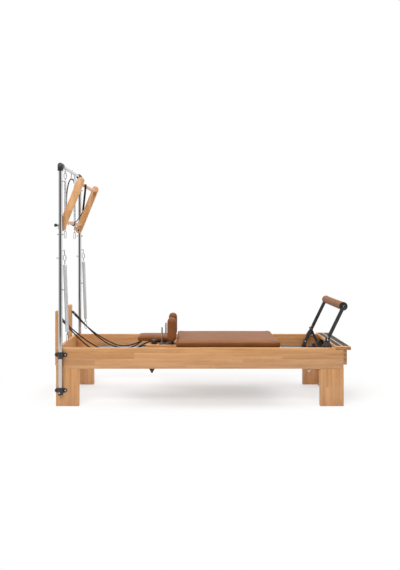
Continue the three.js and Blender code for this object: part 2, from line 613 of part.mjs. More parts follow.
function addShoulder(label, s) {
  const floor = carriage.top + gap;
  const base = box(carriage.shoulder - plate.startOut, carriage.shoulder + plate.endPast,
    s * plate.inner, s * plate.outer, floor, floor + plate.height);
  const pegX = carriage.shoulder - peg.out + s * peg.stagger;
  const post = rod([pegX, s * peg.y, floor + bite], [pegX, s * peg.y, peg.top], peg.radius, smallSides);
  const collar = rod([restX, s * rest.y, floor + bite], [restX, s * rest.y, rest.low - gap], stem.collar);
  const pin = rod([restX, s * rest.y, floor + bite], [restX, s * rest.y, stem.top], stem.radius, smallSides);
  add(`shoulder_bracket_${label}`, join(base, post, collar, pin), blackSteel);
  const block = cushion(rest.thick, rest.width, rest.high - rest.low, rest.edge, 0, rest.pull, restFacets);
  block.translate(restX, s * rest.y, (rest.low + rest.high) / 2);
  const bore = rod([restX, s * rest.y, rest.low - overrun], [restX, s * rest.y, stem.top + overrun],
    stem.radius + pinGap, smallSides);
  add(`shoulder_rest_${label}`, cut(block, bore), leather);
}

function addKnob(label, s) {
  const profile = [[0, 0], [knob.foot, 0], [knob.foot, knob.height - 2 * knob.lip],
    [knob.head, knob.height - 2 * knob.lip], [knob.head, knob.height - knob.lip / 2],
    [knob.foot, knob.height], [0, knob.height]];
  const shape = new THREE.LatheGeometry(profile.map(([r, h]) => new THREE.Vector2(r, h)), smallSides);
  shape.rotateX(Math.PI / 2).translate(carriage.shoulder - knob.out, s * knob.y, carriage.top + gap);
  add(`rope_knob_${label}`, shape, plastic);
}

function addCarriageSprings() {
  const start = ribX + rib.thick + gap;
  const end = frame.foot - springBar.startIn - gap;
  const z = springBar.bottom + springBar.height / 2;
  const labels = ['near', 'middle', 'far'];
  carriageSpring.offsets.forEach((y, i) => {
    const coil = rod([start, y, z], [end, y, z], carriageSpring.radius, smallSides);
    add(`carriage_spring_${labels[i]}`, coil, chrome);
  });
}

function addFootbar() {
  const lean = Math.atan2(rollX - pivotX, arm.rollZ - arm.z);
  const lowX = pivotX - arm.below * Math.sin(lean);
  const lowZ = arm.z - arm.below * Math.cos(lean);
  for (const [label, s] of sides) {
    const lever = slab(barOutline(lowX, lowZ, rollX, arm.rollZ, arm.halfWidth), s * armInner, s * armOuter);
    const cap = rod([rollX, s * (armInner - roll.capThick), arm.rollZ],
      [rollX, s * (armInner + bite), arm.rollZ], roll.cap);
    const hub = rod([rollX, s * (armOuter - bite), arm.rollZ],
      [rollX, s * (armOuter + roll.hubThick), arm.rollZ], roll.hub);
    const pivotBore = rod([pivotX, s * (armInner - overrun), arm.z], [pivotX, s * (armOuter + overrun), arm.z],
      bracket.pin + pinGap);
    const strutPin = rod([hingeX, s * (armOuter - bite), strut.hingeZ],
      [hingeX, s * strutOuter, strut.hingeZ], strut.pin, smallSides);
    add(`footbar_arm_${label}`, join(cut(join(lever, cap, hub), pivotBore), strutPin), blackSteel);

    const prong = slab(barOutline(strutFootX, strut.footZ, hingeX, strut.hingeZ, strut.halfWidth),
      s * strutInner, s * strutOuter);
    const strutBore = rod([hingeX, s * (strutInner - overrun), strut.hingeZ],
      [hingeX, s * (strutOuter + overrun), strut.hingeZ], strut.pin + pinGap, smallSides);
    add(`footbar_strut_${label}`, cut(prong, strutBore), blackSteel);
    addFootbarBracket(label, s);
  }
  const end = armInner - roll.capThick - gap;
  add('footbar_roll', rod([rollX, -end, arm.rollZ], [rollX, end, arm.rollZ], roll.radius), leather);
}

// A tab behind the pivot, a low strip along the rail, and the hooked shelf that the strut's foot rests on
function addFootbarBracket(label, s) {
  const wallFace = innerFace - gap;
  const wallBack = s * (wallFace - bracket.back);
  const tabStart = pivotX - bracket.tabHalf;
  const rackInner = innerFace - rack.innerIn;
  const shelfTop = strut.footZ - strut.halfWidth - gap;
  const shelfLow = shelfTop - rack.thick;
  const tab = box(tabStart, pivotX + bracket.tabHalf, wallBack, s * wallFace, bracket.low, bracket.high);
  const strip = box(tabStart, rackEnd, wallBack, s * wallFace, bracket.low, bracket.strip);
  const shelf = box(frame.foot - rack.startIn, rackEnd, s * rackInner, s * wallFace, shelfLow, shelfTop);
  const hook = box(frame.foot - rack.hookIn, rackEnd, s * rackInner, s * wallFace, shelfLow, rack.hookTop);
  const pivot = rod([pivotX, s * armInner, arm.z], [pivotX, s * (wallFace - bite), arm.z], bracket.pin);
  add(`footbar_bracket_${label}`, join(tab, strip, shelf, hook, pivot), blackSteel);
}

// A cord through a list of points
function cordTube(points, radius, steps) {
  const section = [];
  for (let i = 0; i < cordSides; i += 1) {
    const turn = (2 * Math.PI * i) / cordSides;
    section.push(new THREE.Vector2(radius * Math.cos(turn), radius * Math.sin(turn)));
  }
  const path = new THREE.CatmullRomCurve3(points.map((point) => new THREE.Vector3(...point)));
  console.log(`cord length ${path.getLength().toFixed(0)} mm`);
  return new THREE.ExtrudeGeometry(new THREE.Shape(section), { steps, bevelEnabled: false, extrudePath: path });
}

function addCords() {
  for (const [label, s] of sides) {
    const turn = [];
    for (let angle = 0; angle <= 180; angle += pulleyTurnStep) {
      const back = -pulley.turn * Math.sin(angle * degree);
      const across = riser.offsetY - pulley.turn * Math.cos(angle * degree);
      turn.push([pulley.x + back * ropeWay.x, across, pulleyZ + back * ropeWay.z]);
    }
    const route = [...ropeToPulley, ...turn, ...ropeFromPulley].map(([x, y, z]) => [x, s * y, z]);
    add(`rope_${label}`, cordTube(route, ropeRadius, ropeSteps), cordBlack);
  }
  add('safety_strap', cordTube(safetyStrapRoute, strapRadius, strapSteps), cordBlack);
  add('bar_strap', cordTube(barStrapRoute, strapRadius, strapSteps), cordBlack);
}

addFrame();
for (const [label, s] of sides) {
  addRiser(label, s);
  addTowerSide(label, s);
}
addCrossbar();
addPushBar();
addHangingSprings();
addCarriage();
addCarriageSprings();
addFootbar();
addCords();

export default unit;
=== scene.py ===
import json
import math

import bmesh
import bpy
from mathutils import Matrix, Vector

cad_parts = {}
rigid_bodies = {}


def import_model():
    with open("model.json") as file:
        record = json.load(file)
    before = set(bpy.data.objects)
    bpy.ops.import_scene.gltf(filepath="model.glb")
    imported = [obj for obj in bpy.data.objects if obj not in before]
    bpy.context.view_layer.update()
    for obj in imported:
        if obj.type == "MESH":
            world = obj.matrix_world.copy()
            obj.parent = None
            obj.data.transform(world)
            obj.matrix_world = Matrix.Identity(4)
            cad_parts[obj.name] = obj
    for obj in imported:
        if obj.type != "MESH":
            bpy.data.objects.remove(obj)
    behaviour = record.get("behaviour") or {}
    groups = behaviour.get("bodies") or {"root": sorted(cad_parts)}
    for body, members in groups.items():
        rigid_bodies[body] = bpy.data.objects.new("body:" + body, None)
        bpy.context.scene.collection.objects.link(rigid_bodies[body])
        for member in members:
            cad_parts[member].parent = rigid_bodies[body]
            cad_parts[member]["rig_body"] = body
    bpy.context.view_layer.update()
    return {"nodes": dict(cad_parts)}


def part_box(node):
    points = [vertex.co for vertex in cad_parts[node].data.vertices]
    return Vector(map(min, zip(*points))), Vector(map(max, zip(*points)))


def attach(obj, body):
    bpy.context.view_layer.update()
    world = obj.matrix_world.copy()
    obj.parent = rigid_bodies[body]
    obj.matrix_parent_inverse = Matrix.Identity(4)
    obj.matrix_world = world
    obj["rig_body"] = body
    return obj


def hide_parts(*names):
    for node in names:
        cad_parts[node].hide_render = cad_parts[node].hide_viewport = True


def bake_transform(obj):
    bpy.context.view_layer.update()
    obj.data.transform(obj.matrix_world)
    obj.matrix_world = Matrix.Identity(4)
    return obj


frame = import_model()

SIDES = {"near": -1, "far": 1}
HEAD_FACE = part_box("head_cross_board")[0].x
X, Y, Z = Vector((1, 0, 0)), Vector((0, 1, 0)), Vector((0, 0, 1))


# Places are in metres: x from the head end's face, y from the middle, z from the floor
def place(x, y, z):
    return Vector((HEAD_FACE + x, y, z))


def add_object(name, data):
    obj = bpy.data.objects.new(name, data)
    bpy.context.scene.collection.objects.link(obj)
    return obj


def set_values(node, **values):
    """Sets properties and a node's sockets by name, with _ where a socket's name has a space."""
    for key, value in values.items():
        if hasattr(node, key):
            setattr(node, key, value)
        else:
            node.inputs[key.replace("_", " ")].default_value = value
    return node


# Camera at the photograph's place, level and square to the bed's side
def make_camera():
    data = set_values(bpy.data.cameras.new("photo_camera"), lens=32.9, shift_x=0.017, shift_y=-0.0702)
    camera = add_object("photo_camera", data)
    camera.location = place(1.093, -4.5825, 1.311)
    camera.rotation_euler = (math.radians(90), 0, 0)
    bpy.context.scene.camera = camera


make_camera()


# Mesh helpers. A turned profile starts and ends at TIP from its axis, so that its ends close.
TIP = 0.0005
EASED_DEGREES, SMOOTH_DEGREES, FITTING_DEGREES, FLAT_DEGREES = 40, 38, 40, 50


def rod(radius, low, high):
    """The profile of a plain round bar."""
    return [(TIP, low), (radius, low), (radius, high), (TIP, high)]


def new_object(name, verts, faces, uvs=None, smooth=True):
    mesh = bpy.data.meshes.new(name)
    mesh.from_pydata([tuple(v) for v in verts], [], faces)
    if uvs is not None:
        layer = mesh.uv_layers.new(name="along")
        for loop in mesh.loops:
            layer.data[loop.index].uv = uvs[loop.vertex_index]
    mesh.update()
    obj = add_object(name, mesh)
    if smooth:
        mesh.shade_smooth()
    return obj


def tube(name, points, radius, sides=8, closed=False, flat=1.0):
    """A tube with its length in metres on the u of its map. A flat below 1 thins it to a strap."""
    points = [Vector(p) for p in points]
    count = len(points)
    verts, uvs, faces = [], [], []
    normal, last, run = None, None, 0.0
    for i, point in enumerate(points):
        before = points[(i - 1) % count] if closed else points[max(i - 1, 0)]
        after = points[(i + 1) % count] if closed else points[min(i + 1, count - 1)]
        way = (after - before).normalized()
        if normal is None:
            aside = X if abs(way.y) > 0.5 else Y
            normal = (aside - way * aside.dot(way)).normalized()
        else:
            normal = (last.rotation_difference(way) @ normal).normalized()
            run += (point - points[i - 1]).length
        last = way
        across = way.cross(normal)
        for k in range(sides):
            turn = 2 * math.pi * k / sides
            verts.append(point + (normal * math.cos(turn) * flat + across * math.sin(turn)) * radius)
            uvs.append((run, k / sides))
    for i in range(count if closed else count - 1):
        here, there = i * sides, ((i + 1) % count) * sides
        for k in range(sides):
            step = (k + 1) % sides
            faces.append((here + k, here + step, there + step, there + k))
    if not closed:
        faces.append(tuple(reversed(range(sides))))
        faces.append(tuple(range((count - 1) * sides, count * sides)))
    return new_object(name, verts, faces, uvs)


def lathe(name, profile, centre, axis, sides=32):
    """Turns radius and height pairs round an axis through centre."""
    turn = Z.rotation_difference(Vector(axis).normalized()).to_matrix()
    verts, faces = [], []
    for radius, height in profile:
        for k in range(sides):
            angle = 2 * math.pi * k / sides
            spot = Vector((radius * math.cos(angle), radius * math.sin(angle), height))
            verts.append(Vector(centre) + turn @ spot)
    for i in range(len(profile) - 1):
        for k in range(sides):
            step = (k + 1) % sides
            faces.append((i * sides + k, i * sides + step, (i + 1) * sides + step, (i + 1) * sides + k))
    faces.append(tuple(reversed(range(sides))))
    faces.append(tuple(range((len(profile) - 1) * sides, len(profile) * sides)))
    obj = new_object(name, verts, faces)
    smooth_by_angle(obj)
    return obj


def edit_mesh(mesh, change):
    work = bmesh.new()
    work.from_mesh(mesh)
    change(work)
    work.to_mesh(mesh)
    work.free()


def ease_edges(work, width, steps=2):
    bmesh.ops.bevel(work, geom=work.edges[:], offset=width, segments=steps, profile=0.5, affect="EDGES")


def smooth_by_angle(obj, degrees=35):
    obj.data.shade_smooth()

    def mark(work):
        for edge in work.edges:
            edge.smooth = len(edge.link_faces) == 2 and edge.calc_face_angle(0) <= math.radians(degrees)

    edit_mesh(obj.data, mark)


def join_all(name, parts):
    """Joins objects into one mesh object, keeping their materials, and shades it as a fitting."""
    work = bmesh.new()
    materials = []
    for part in parts:
        data = part.data.copy()
        data.transform(part.matrix_world)
        slots = []
        for material in data.materials:
            if material not in materials:
                materials.append(material)
            slots.append(materials.index(material))
        for polygon in data.polygons:
            polygon.material_index = slots[polygon.material_index] if slots else 0
        work.from_mesh(data)
        bpy.data.meshes.remove(data)
    mesh = bpy.data.meshes.new(name)
    work.to_mesh(mesh)
    work.free()
    for material in materials:
        mesh.materials.append(material)
    for part in parts:
        bpy.data.objects.remove(part)
    obj = add_object(name, mesh)
    smooth_by_angle(obj, FITTING_DEGREES)
    return obj


def baked(obj):
    """A new mesh of the object with its modifiers applied, which then leave the object."""
    graph = bpy.context.evaluated_depsgraph_get()
    mesh = bpy.data.meshes.new_from_object(obj.evaluated_get(graph))
    obj.modifiers.clear()
    return mesh


def copy_of(node, name):
    """A welded copy of a CAD node's mesh, for a finer version of the same piece."""
    mesh = frame["nodes"][node].data.copy()

    def weld(work):
        bmesh.ops.remove_doubles(work, verts=work.verts, dist=1e-5)
        bmesh.ops.dissolve_limit(work, angle_limit=math.radians(1), verts=work.verts, edges=work.edges)

    edit_mesh(mesh, weld)
    mesh.materials.clear()
    return add_object(name, mesh)


def bevelled(node, width, steps=2):
    obj = copy_of(node, f"{node}_eased")
    set_values(obj.modifiers.new("ease", "BEVEL"), width=width, segments=steps, limit_method="ANGLE",
               angle_limit=math.radians(EASED_DEGREES))
    obj.data = baked(obj)
    smooth_by_angle(obj, FLAT_DEGREES)
    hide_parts(node)
    return obj


def board_mesh(name, low, high, width, steps=2):
    """A box with rounded edges between two corners."""
    low, high = Vector(low), Vector(high)
    mesh = bpy.data.meshes.new(name)

    def shape(work):
        bmesh.ops.create_cube(work, size=1.0)
        bmesh.ops.scale(work, vec=high - low, verts=work.verts)
        bmesh.ops.translate(work, vec=(high + low) / 2, verts=work.verts)
        ease_edges(work, width, steps)

    edit_mesh(mesh, shape)
    obj = add_object(name, mesh)
    smooth_by_angle(obj, FLAT_DEGREES)
    return obj


def flat_plate(name, outline, y0, y1, ease):
    """A plate in the XZ plane with eased edges, between two depths."""
    count = len(outline)
    verts = [place(x, y, z) for y in (y0, y1) for x, z in outline]
    faces = [tuple(range(count)), tuple(reversed(range(count, 2 * count)))]
    faces += [(i, (i + 1) % count, (i + 1) % count + count, i + count) for i in range(count)]
    plate = new_object(name, verts, faces, smooth=False)

    def turn_out_and_ease(work):
        bmesh.ops.recalc_face_normals(work, faces=work.faces)
        ease_edges(work, ease)

    edit_mesh(plate.data, turn_out_and_ease)
    smooth_by_angle(plate, FLAT_DEGREES)
    return plate


def smooth_route(points, steps=8):
    """A Catmull-Rom curve through points."""
    points = [Vector(p) for p in points]
    ends = [points[0] * 2 - points[1]] + points + [points[-1] * 2 - points[-2]]
    out = []
    for a, b, c, d in zip(ends, ends[1:], ends[2:], ends[3:]):
        for k in range(steps):
            t = k / steps
            out.append(0.5 * (2 * b + (c - a) * t + (2 * a - 5 * b + 4 * c - d) * t ** 2
                              + (3 * b - a - 3 * c + d) * t ** 3))
    out.append(points[-1])
    return out


def oblong(top, down, length, half, side):
    """Points of a closed oblong link that hangs from top."""
    way, wide = Vector(down).normalized(), Vector(side).normalized()
    points = []
    for drop, start in ((half, 0), (length - half, math.pi)):
        for i in range(13):
            angle = start + math.pi * i / 12
            points.append(Vector(top) + way * (drop - half * math.sin(angle)) + wide * half * math.cos(angle))
    return points


# Node helpers for materials
WHITE = (1.0, 1.0, 1.0)


def link(source, target):
    target.id_data.links.new(source, target)


def add_node(tree, kind, **values):
    return set_values(tree.nodes.new(f"ShaderNode{kind}"), **values)


def fed(source, kind, target="Vector", **values):
    """The outputs of a new node that takes source at one of its inputs."""
    made = add_node(source.id_data, kind, **values)
    link(source, made.inputs[target])
    return made.outputs


def noise(vector, scale, detail=3.0, rough=0.5):
    return fed(vector, "TexNoise", Scale=scale, Detail=detail, Roughness=rough)["Fac"]


def stretched(vector, scale, shift=(0, 0, 0)):
    return fed(vector, "Mapping", Scale=scale, Location=shift)["Vector"]


def fill(sockets, values):
    """Links or sets each socket, and leaves one alone where its value is None."""
    for socket, value in zip(sockets, values):
        if isinstance(value, (int, float)):
            socket.default_value = value
        elif isinstance(value, tuple):
            socket.default_value = (*value, 1)
        elif value is not None:
            link(value, socket)


def maths(operation, a, b=0.0, c=None):
    made = add_node(a.id_data, "Math", operation=operation)
    fill(made.inputs, (a, b, c))
    return made.outputs[0]


def ramp(factor, *stops):
    made = add_node(factor.id_data, "ValToRGB")
    for element, (position, colour) in zip(made.color_ramp.elements, stops):
        element.position = position
        element.color = (*colour, 1)
    for position, colour in stops[2:]:
        made.color_ramp.elements.new(position).color = (*colour, 1)
    link(factor, made.inputs["Fac"])
    return made.outputs["Color"]


def mixed(factor, a, b, mode="MIX"):
    made = add_node(a.id_data, "Mix", data_type="RGBA", blend_type=mode)
    fill((made.inputs["Factor"], made.inputs[6], made.inputs[7]), (factor, a, b))
    return made.outputs[2]


def shaded(factor, a, b):
    return mixed(factor, a, b, "MULTIPLY")


def mixed_shader(factor, a, b):
    made = add_node(a.id_data, "MixShader")
    fill(made.inputs, (factor, a, b))
    return made.outputs[0]


def bump(shader, height, strength, distance):
    made = fed(height, "Bump", "Height", Strength=strength, Distance=distance)
    link(made["Normal"], shader.inputs["Normal"])


def colour_with(shader, colour):
    link(colour, shader.inputs["Base Color"])


def roughen(shader, source, spread, base):
    """Lets the roughness rise from base by up to spread, where source is 1."""
    link(maths("MULTIPLY_ADD", source, spread, base), shader.inputs["Roughness"])


def blank(name):
    """A new material, its shader and its object coordinates."""
    material = bpy.data.materials.new(name)
    material.use_nodes = True
    tree = material.node_tree
    return material, tree.nodes["Principled BSDF"], add_node(tree, "TexCoord").outputs["Object"]


# Laminated beech with a satin lacquer: grain is the axis that it runs along, across the axis of the staves
HONEY_LIGHT = (0.72, 0.4, 0.185)
HONEY = (0.62, 0.315, 0.13)
HONEY_DARK = (0.5, 0.235, 0.088)
STAVE_LENGTH = 1.2
STAVE_STAGGER = 12.9
SEAM = 0.0011
FIGURE_SCALE, FIGURE_ALONG = 26.0, 1.6
PORE_SCALE, PORE_ALONG = 420.0, 14.0


def wood(name, grain, across, pitch, tint=1.0, offset=0.0):
    material, shader, coords = blank(name)
    parts = fed(coords, "SeparateXYZ")
    shifted = maths("ADD", parts[across], offset)
    staves = maths("DIVIDE", shifted, pitch)
    stave = maths("FLOOR", staves)
    stagger = maths("SINE", maths("MULTIPLY", stave, STAVE_STAGGER))
    slid = maths("ADD", parts[grain], maths("MULTIPLY", stagger, STAVE_LENGTH))
    piece = maths("FLOOR", maths("DIVIDE", slid, STAVE_LENGTH))
    seed = add_node(coords.id_data, "CombineXYZ")
    fill(seed.inputs, (stave, piece))
    tone = fed(seed.outputs[0], "TexWhiteNoise", noise_dimensions="3D")
    moved = add_node(coords.id_data, "VectorMath", operation="MULTIPLY_ADD")
    moved.inputs[1].default_value = (3.0, 3.0, 3.0)
    fill(moved.inputs, (tone["Color"], None, coords))
    figure_scale, pore_scale = [FIGURE_SCALE] * 3, [PORE_SCALE] * 3
    figure_scale[grain], pore_scale[grain] = FIGURE_ALONG, PORE_ALONG
    figure = noise(stretched(moved.outputs[0], figure_scale), 1.0, 4.0, 0.6)
    pores = noise(stretched(moved.outputs[0], pore_scale), 1.0, 3.0, 0.7)
    grained = ramp(figure, (0.3, HONEY_LIGHT), (0.52, HONEY), (0.74, HONEY_DARK))
    shade = ramp(tone["Value"], (0.0, (0.9, 0.87, 0.83)), (1.0, (1.06, 1.05, 1.04)))
    flecks = ramp(pores, (0.36, (0.82, 0.76, 0.7)), (0.5, WHITE))
    flecked = shaded(0.7, shaded(1.0, grained, shade), flecks)
    edge = maths("LESS_THAN", maths("FRACT", staves), SEAM / pitch)
    glue = tuple(0.45 * part for part in HONEY_DARK)
    seamed = mixed(maths("MULTIPLY", edge, 0.45), flecked, glue)
    colour_with(shader, shaded(1.0, seamed, (tint, tint, tint)))
    roughen(shader, pores, 0.18, 0.3)
    set_values(shader, Coat_Weight=0.25, Coat_Roughness=0.22)
    bump(shader, pores, 0.12, 0.0004)
    return material


def end_grain(name):
    material, shader, coords = blank(name)
    rings = fed(coords, "TexWave", wave_type="RINGS", rings_direction="X",
                Scale=9.0, Distortion=5.0, Detail=3.0)["Fac"]
    speck = noise(coords, 900.0, 2.0)
    dark = tuple(0.6 * part for part in HONEY_DARK)
    base = ramp(rings, (0.0, HONEY_DARK), (1.0, dark))
    spots = ramp(speck, (0.4, (0.8, 0.74, 0.68)), (0.6, WHITE))
    colour_with(shader, shaded(0.8, base, spots))
    set_values(shader, Roughness=0.5)
    bump(shader, speck, 0.1, 0.0004)
    return material


def leather_material(name, base, light):
    material, shader, coords = blank(name)
    edges = fed(coords, "TexVoronoi", feature="DISTANCE_TO_EDGE", Scale=620.0)["Distance"]
    crease = noise(coords, 60.0, 5.0, 0.65)
    pore = noise(coords, 1500.0, 2.0)
    tone = ramp(noise(coords, 7.0, 3.0), (0.3, base), (0.7, light))
    # Painted shade: the colour is darker along the cell edges, in the creases of the grain
    shade = ramp(edges, (0.0, (0.78, 0.74, 0.7)), (0.12, WHITE))
    colour_with(shader, shaded(0.8, tone, shade))
    roughen(shader, crease, 0.22, 0.36)
    set_values(shader, Specular_IOR_Level=0.14)
    folds = maths("ADD", maths("MULTIPLY", crease, 0.5), maths("MULTIPLY", pore, 0.15))
    bump(shader, maths("ADD", maths("MULTIPLY", edges, 0.8), folds), 0.28, 0.0007)
    return material


def chrome_material(name, tone=0.82, rough=0.09, smear=0.06, tint=(1.0, 1.0, 1.02)):
    material, shader, coords = blank(name)
    wipe = noise(stretched(coords, (60.0, 60.0, 8.0)), 1.0, 3.0)
    dust = noise(coords, 240.0, 2.0)
    bright = tuple(tone * part for part in tint)
    dull = tuple(0.94 * part for part in bright)
    colour_with(shader, ramp(dust, (0.3, dull), (0.7, bright)))
    set_values(shader, Metallic=1.0)
    roughen(shader, wipe, smear, rough)
    bump(shader, dust, 0.02, 0.0002)
    return material


def black_paint(name, tone=0.016, rough=0.42, scale=900.0, strength=0.25):
    material, shader, coords = blank(name)
    orange_peel = noise(coords, scale, 2.0)
    wear = noise(coords, 22.0, 4.0, 0.6)
    dark = (tone, tone, tone * 1.06)
    worn = (tone * 1.9, tone * 1.9, tone * 2.0)
    colour_with(shader, ramp(wear, (0.35, dark), (0.75, worn)))
    roughen(shader, wear, 0.16, rough - 0.06)
    bump(shader, orange_peel, strength, 0.0003)
    return material


def brushed_metal(name):
    material, shader, coords = blank(name)
    lines = noise(stretched(coords, (6.0, 1600.0, 1600.0)), 1.0, 3.0, 0.6)
    colour_with(shader, ramp(lines, (0.3, (0.42, 0.43, 0.44)), (0.7, (0.6, 0.61, 0.62))))
    set_values(shader, Metallic=1.0)
    roughen(shader, lines, 0.2, 0.26)
    bump(shader, lines, 0.06, 0.0002)
    return material


def braid(name, tone=0.009, strands=420.0, turns=6.0):
    """Braided cord: two families of diagonal ridges from the tube's own map."""
    material, shader, coords = blank(name)
    own_map = add_node(coords.id_data, "UVMap", uv_map="along")
    parts = fed(own_map.outputs["UV"], "SeparateXYZ")
    along = maths("MULTIPLY", parts[0], strands * math.pi)
    around = maths("MULTIPLY", parts[1], turns * 2 * math.pi)
    one = maths("SINE", maths("ADD", along, around))
    two = maths("SINE", maths("SUBTRACT", along, around))
    height = maths("MAXIMUM", one, two)
    fibre = noise(coords, 1800.0, 2.0)
    # Painted shade and light: the colour is darker in the grooves between the strands and lighter on the
    # ridge tops, by the ridges' height
    groove_shade = (tone * 0.4, tone * 0.4, tone * 0.4)
    high = (tone * 2, tone * 2, tone * 2.05)
    colour_with(shader, ramp(maths("MULTIPLY_ADD", height, 0.5), (0.0, groove_shade), (1.0, high)))
    set_values(shader, Roughness=0.75, Specular_IOR_Level=0.25)
    bump(shader, maths("ADD", height, maths("MULTIPLY", fibre, 0.5)), 0.5, 0.0006)
    return material


def grip_material(name):
    material, shader, coords = blank(name)
    grit = noise(coords, 1400.0, 2.0)
    worn = noise(coords, 18.0, 4.0)
    both = maths("ADD", maths("MULTIPLY", grit, 0.6), maths("MULTIPLY", worn, 0.4))
    colour_with(shader, ramp(both, (0.35, (0.018, 0.018, 0.019)), (0.62, (0.085, 0.083, 0.08))))
    set_values(shader, Roughness=0.85)
    bump(shader, grit, 0.8, 0.0006)
    return material


WOOD_RAIL = wood("wood_rail", 0, 2, 0.049, tint=0.95, offset=0.007)
WOOD_LEG = wood("wood_leg", 2, 0, 0.046)
WOOD_CROSS = wood("wood_cross", 1, 2, 0.0475)
WOOD_DECK = wood("wood_deck", 1, 0, 0.06, tint=1.04)
WOOD_POST = wood("wood_post", 2, 1, 0.0605)
WOOD_BAR = wood("wood_bar", 2, 1, 0.4)
WOOD_DOWEL = wood("wood_dowel", 1, 2, 0.9, tint=1.02)
WOOD_BOARD = wood("wood_board", 0, 1, 0.09)
WOOD_END = end_grain("wood_end_grain")
LEATHER = leather_material("brown_leather", (0.208, 0.073, 0.022), (0.252, 0.096, 0.03))
CHROME = chrome_material("chrome_plate", 0.6)
WIRE_STEEL = chrome_material("wire_steel", 0.3, 0.22, 0.06)
BRASS = chrome_material("turned_brass", 0.28, 0.25, 0.05, (1.0, 0.76, 0.48))
SPRING_STEEL = chrome_material("spring_steel", 0.6, 0.34, 0.08)
PEG_STEEL = chrome_material("peg_steel", 0.62, 0.34, 0.08)
BLACK_STEEL = black_paint("black_powder_coat", 0.02)
BLACK_PLASTIC = black_paint("black_moulding", 0.014, 0.36, 500.0, 0.12)
GREY_STEEL = black_paint("grey_powder_coat", 0.04, 0.34)
TRACK_METAL = brushed_metal("drawn_aluminium")
BRAID = braid("black_braid")
WEBBING = braid("black_webbing", 0.01, 900.0, 3.0)
GRIP = grip_material("grip_strip")


def in_material(obj, material):
    obj.data.materials.append(material)
    return obj


def finish_piece(obj, material, body="root", node=None):
    """Gives a piece its material, where its parts bring none, its body and the node it replaces."""
    if not obj.data.materials:
        in_material(obj, material)
    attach(obj, body)
    if node:
        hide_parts(node)
    return obj


def turned(name, profile, centre, axis, sides, material, body="root", node=None):
    return finish_piece(lathe(name, profile, centre, axis, sides), material, body, node)


def paint_faces(obj, material, chosen):
    """Gives a second material to the faces that chosen picks."""
    last = len(in_material(obj, material).data.materials) - 1
    for polygon in obj.data.polygons:
        if chosen(polygon):
            polygon.material_index = last


def coat(node, material):
    """Paints a CAD node that keeps its own shape, with each of its faces flat."""
    obj = frame["nodes"][node]
    obj.data.materials.clear()
    in_material(obj, material)
    for polygon in obj.data.polygons:
        polygon.use_smooth = False


# Ropes: the route repeats the one in the part's source, in metres
ROPE_RADIUS = 0.0055
PULLEY = (0.042, 0.662)
PULLEY_EYE = (0.004, 0.703)
PULLEY_Y = 0.219
ROPE_TURN_RADIUS = 0.02
ROPE_TO_PULLEY = [
    (0.7717, 0.14, 0.485), (0.758, 0.14, 0.485), (0.738, 0.141, 0.485), (0.7, 0.144, 0.47),
    (0.65, 0.149, 0.442), (0.6, 0.155, 0.418), (0.545, 0.162, 0.4), (0.49, 0.168, 0.392),
    (0.43, 0.174, 0.398), (0.37, 0.181, 0.42), (0.3, 0.186, 0.455), (0.22, 0.191, 0.505),
    (0.144, 0.196, 0.565), (0.09, 0.199, 0.612), (0.062, 0.199, 0.641)]
ROPE_FROM_PULLEY = [
    (0.062, 0.239, 0.641), (0.09, 0.238, 0.609), (0.144, 0.234, 0.552), (0.22, 0.228, 0.48),
    (0.303, 0.221, 0.42), (0.37, 0.215, 0.388), (0.44, 0.208, 0.368), (0.51, 0.201, 0.364),
    (0.582, 0.192, 0.386), (0.64, 0.183, 0.426), (0.672, 0.17, 0.45), (0.69, 0.165, 0.456),
    (0.704, 0.165, 0.456), (0.7177, 0.165, 0.456)]
ROPE_WAY = Vector((PULLEY[0] - PULLEY_EYE[0], 0, PULLEY[1] - PULLEY_EYE[1])).normalized()
PIN_WAY = Vector((-ROPE_WAY.z, 0, ROPE_WAY.x))
CORD_SIDES = 12


def rope_route(side):
    turn = []
    for degrees in range(0, 181, 20):
        angle = math.radians(degrees)
        back = -ROPE_TURN_RADIUS * math.sin(angle)
        turn.append((PULLEY[0] + back * ROPE_WAY.x, PULLEY_Y - ROPE_TURN_RADIUS * math.cos(angle),
                     PULLEY[1] + back * ROPE_WAY.z))
    return smooth_route([place(x, side * y, z) for x, y, z in ROPE_TO_PULLEY + turn + ROPE_FROM_PULLEY], 6)


def make_ropes():
    for label, side in SIDES.items():
        route = rope_route(side)
        rope = tube(f"rope_{label}_braided", route, ROPE_RADIUS, CORD_SIDES)
        finish_piece(rope, BRAID, node=f"rope_{label}")
        rope.parent = None
        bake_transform(rope)


# Straps on the tower: the routes repeat the ones in the part's source, in metres
STRAP_RADIUS = 0.005
BAR_STRAP_HALF = 0.0085
DOWEL_WRAP = (0.062, 1.4991, 0.0178)
BAR_CORD_RADIUS = 0.0036
WRAP_START, WRAP_STEP, WRAP_STEPS = 34, 32, 9
WRAP_Y, WRAP_LEAD = -0.002, 0.001
SAFETY_STRAP = [
    (0.008, 0.002, 1.53), (0.005, 0.000, 1.6), (0.003, -0.002, 1.69), (0.008, 0.000, 1.777),
    (0.015, 0.006, 1.83), (0.024, 0.014, 1.87), (0.036, 0.02, 1.8917), (0.042, 0.02, 1.8917),
    (0.048, 0.02, 1.8917), (0.062, 0.018, 1.88), (0.07, 0.014, 1.866)]
BAR_STRAP = [
    (0.2113, -0.2, 1.822), (0.2113, -0.199, 1.8), (0.208, -0.198, 1.765), (0.2015, -0.197, 1.706),
    (0.195, -0.194, 1.65), (0.187, -0.184, 1.606)]
BAR_CORD = [
    (0.187, -0.184, 1.606), (0.16, -0.122, 1.572), (0.132, -0.074, 1.548), (0.11, -0.026, 1.533),
    (0.093, -0.003, 1.5204), (0.084, -0.002, 1.5142), (0.0741, -0.002, 1.5073)]
SNAP_WAY = Vector((0.028, -0.02, -0.03))
SWIVEL = [(TIP, 0), (0.005, 0), (0.0055, 0.004), (0.004, 0.01), (TIP, 0.01)]
SNAP_LENGTH, STRAP_HOOK, HOOK_DROP, GATE_DROP = 0.046, 0.0075, 0.009, 0.022
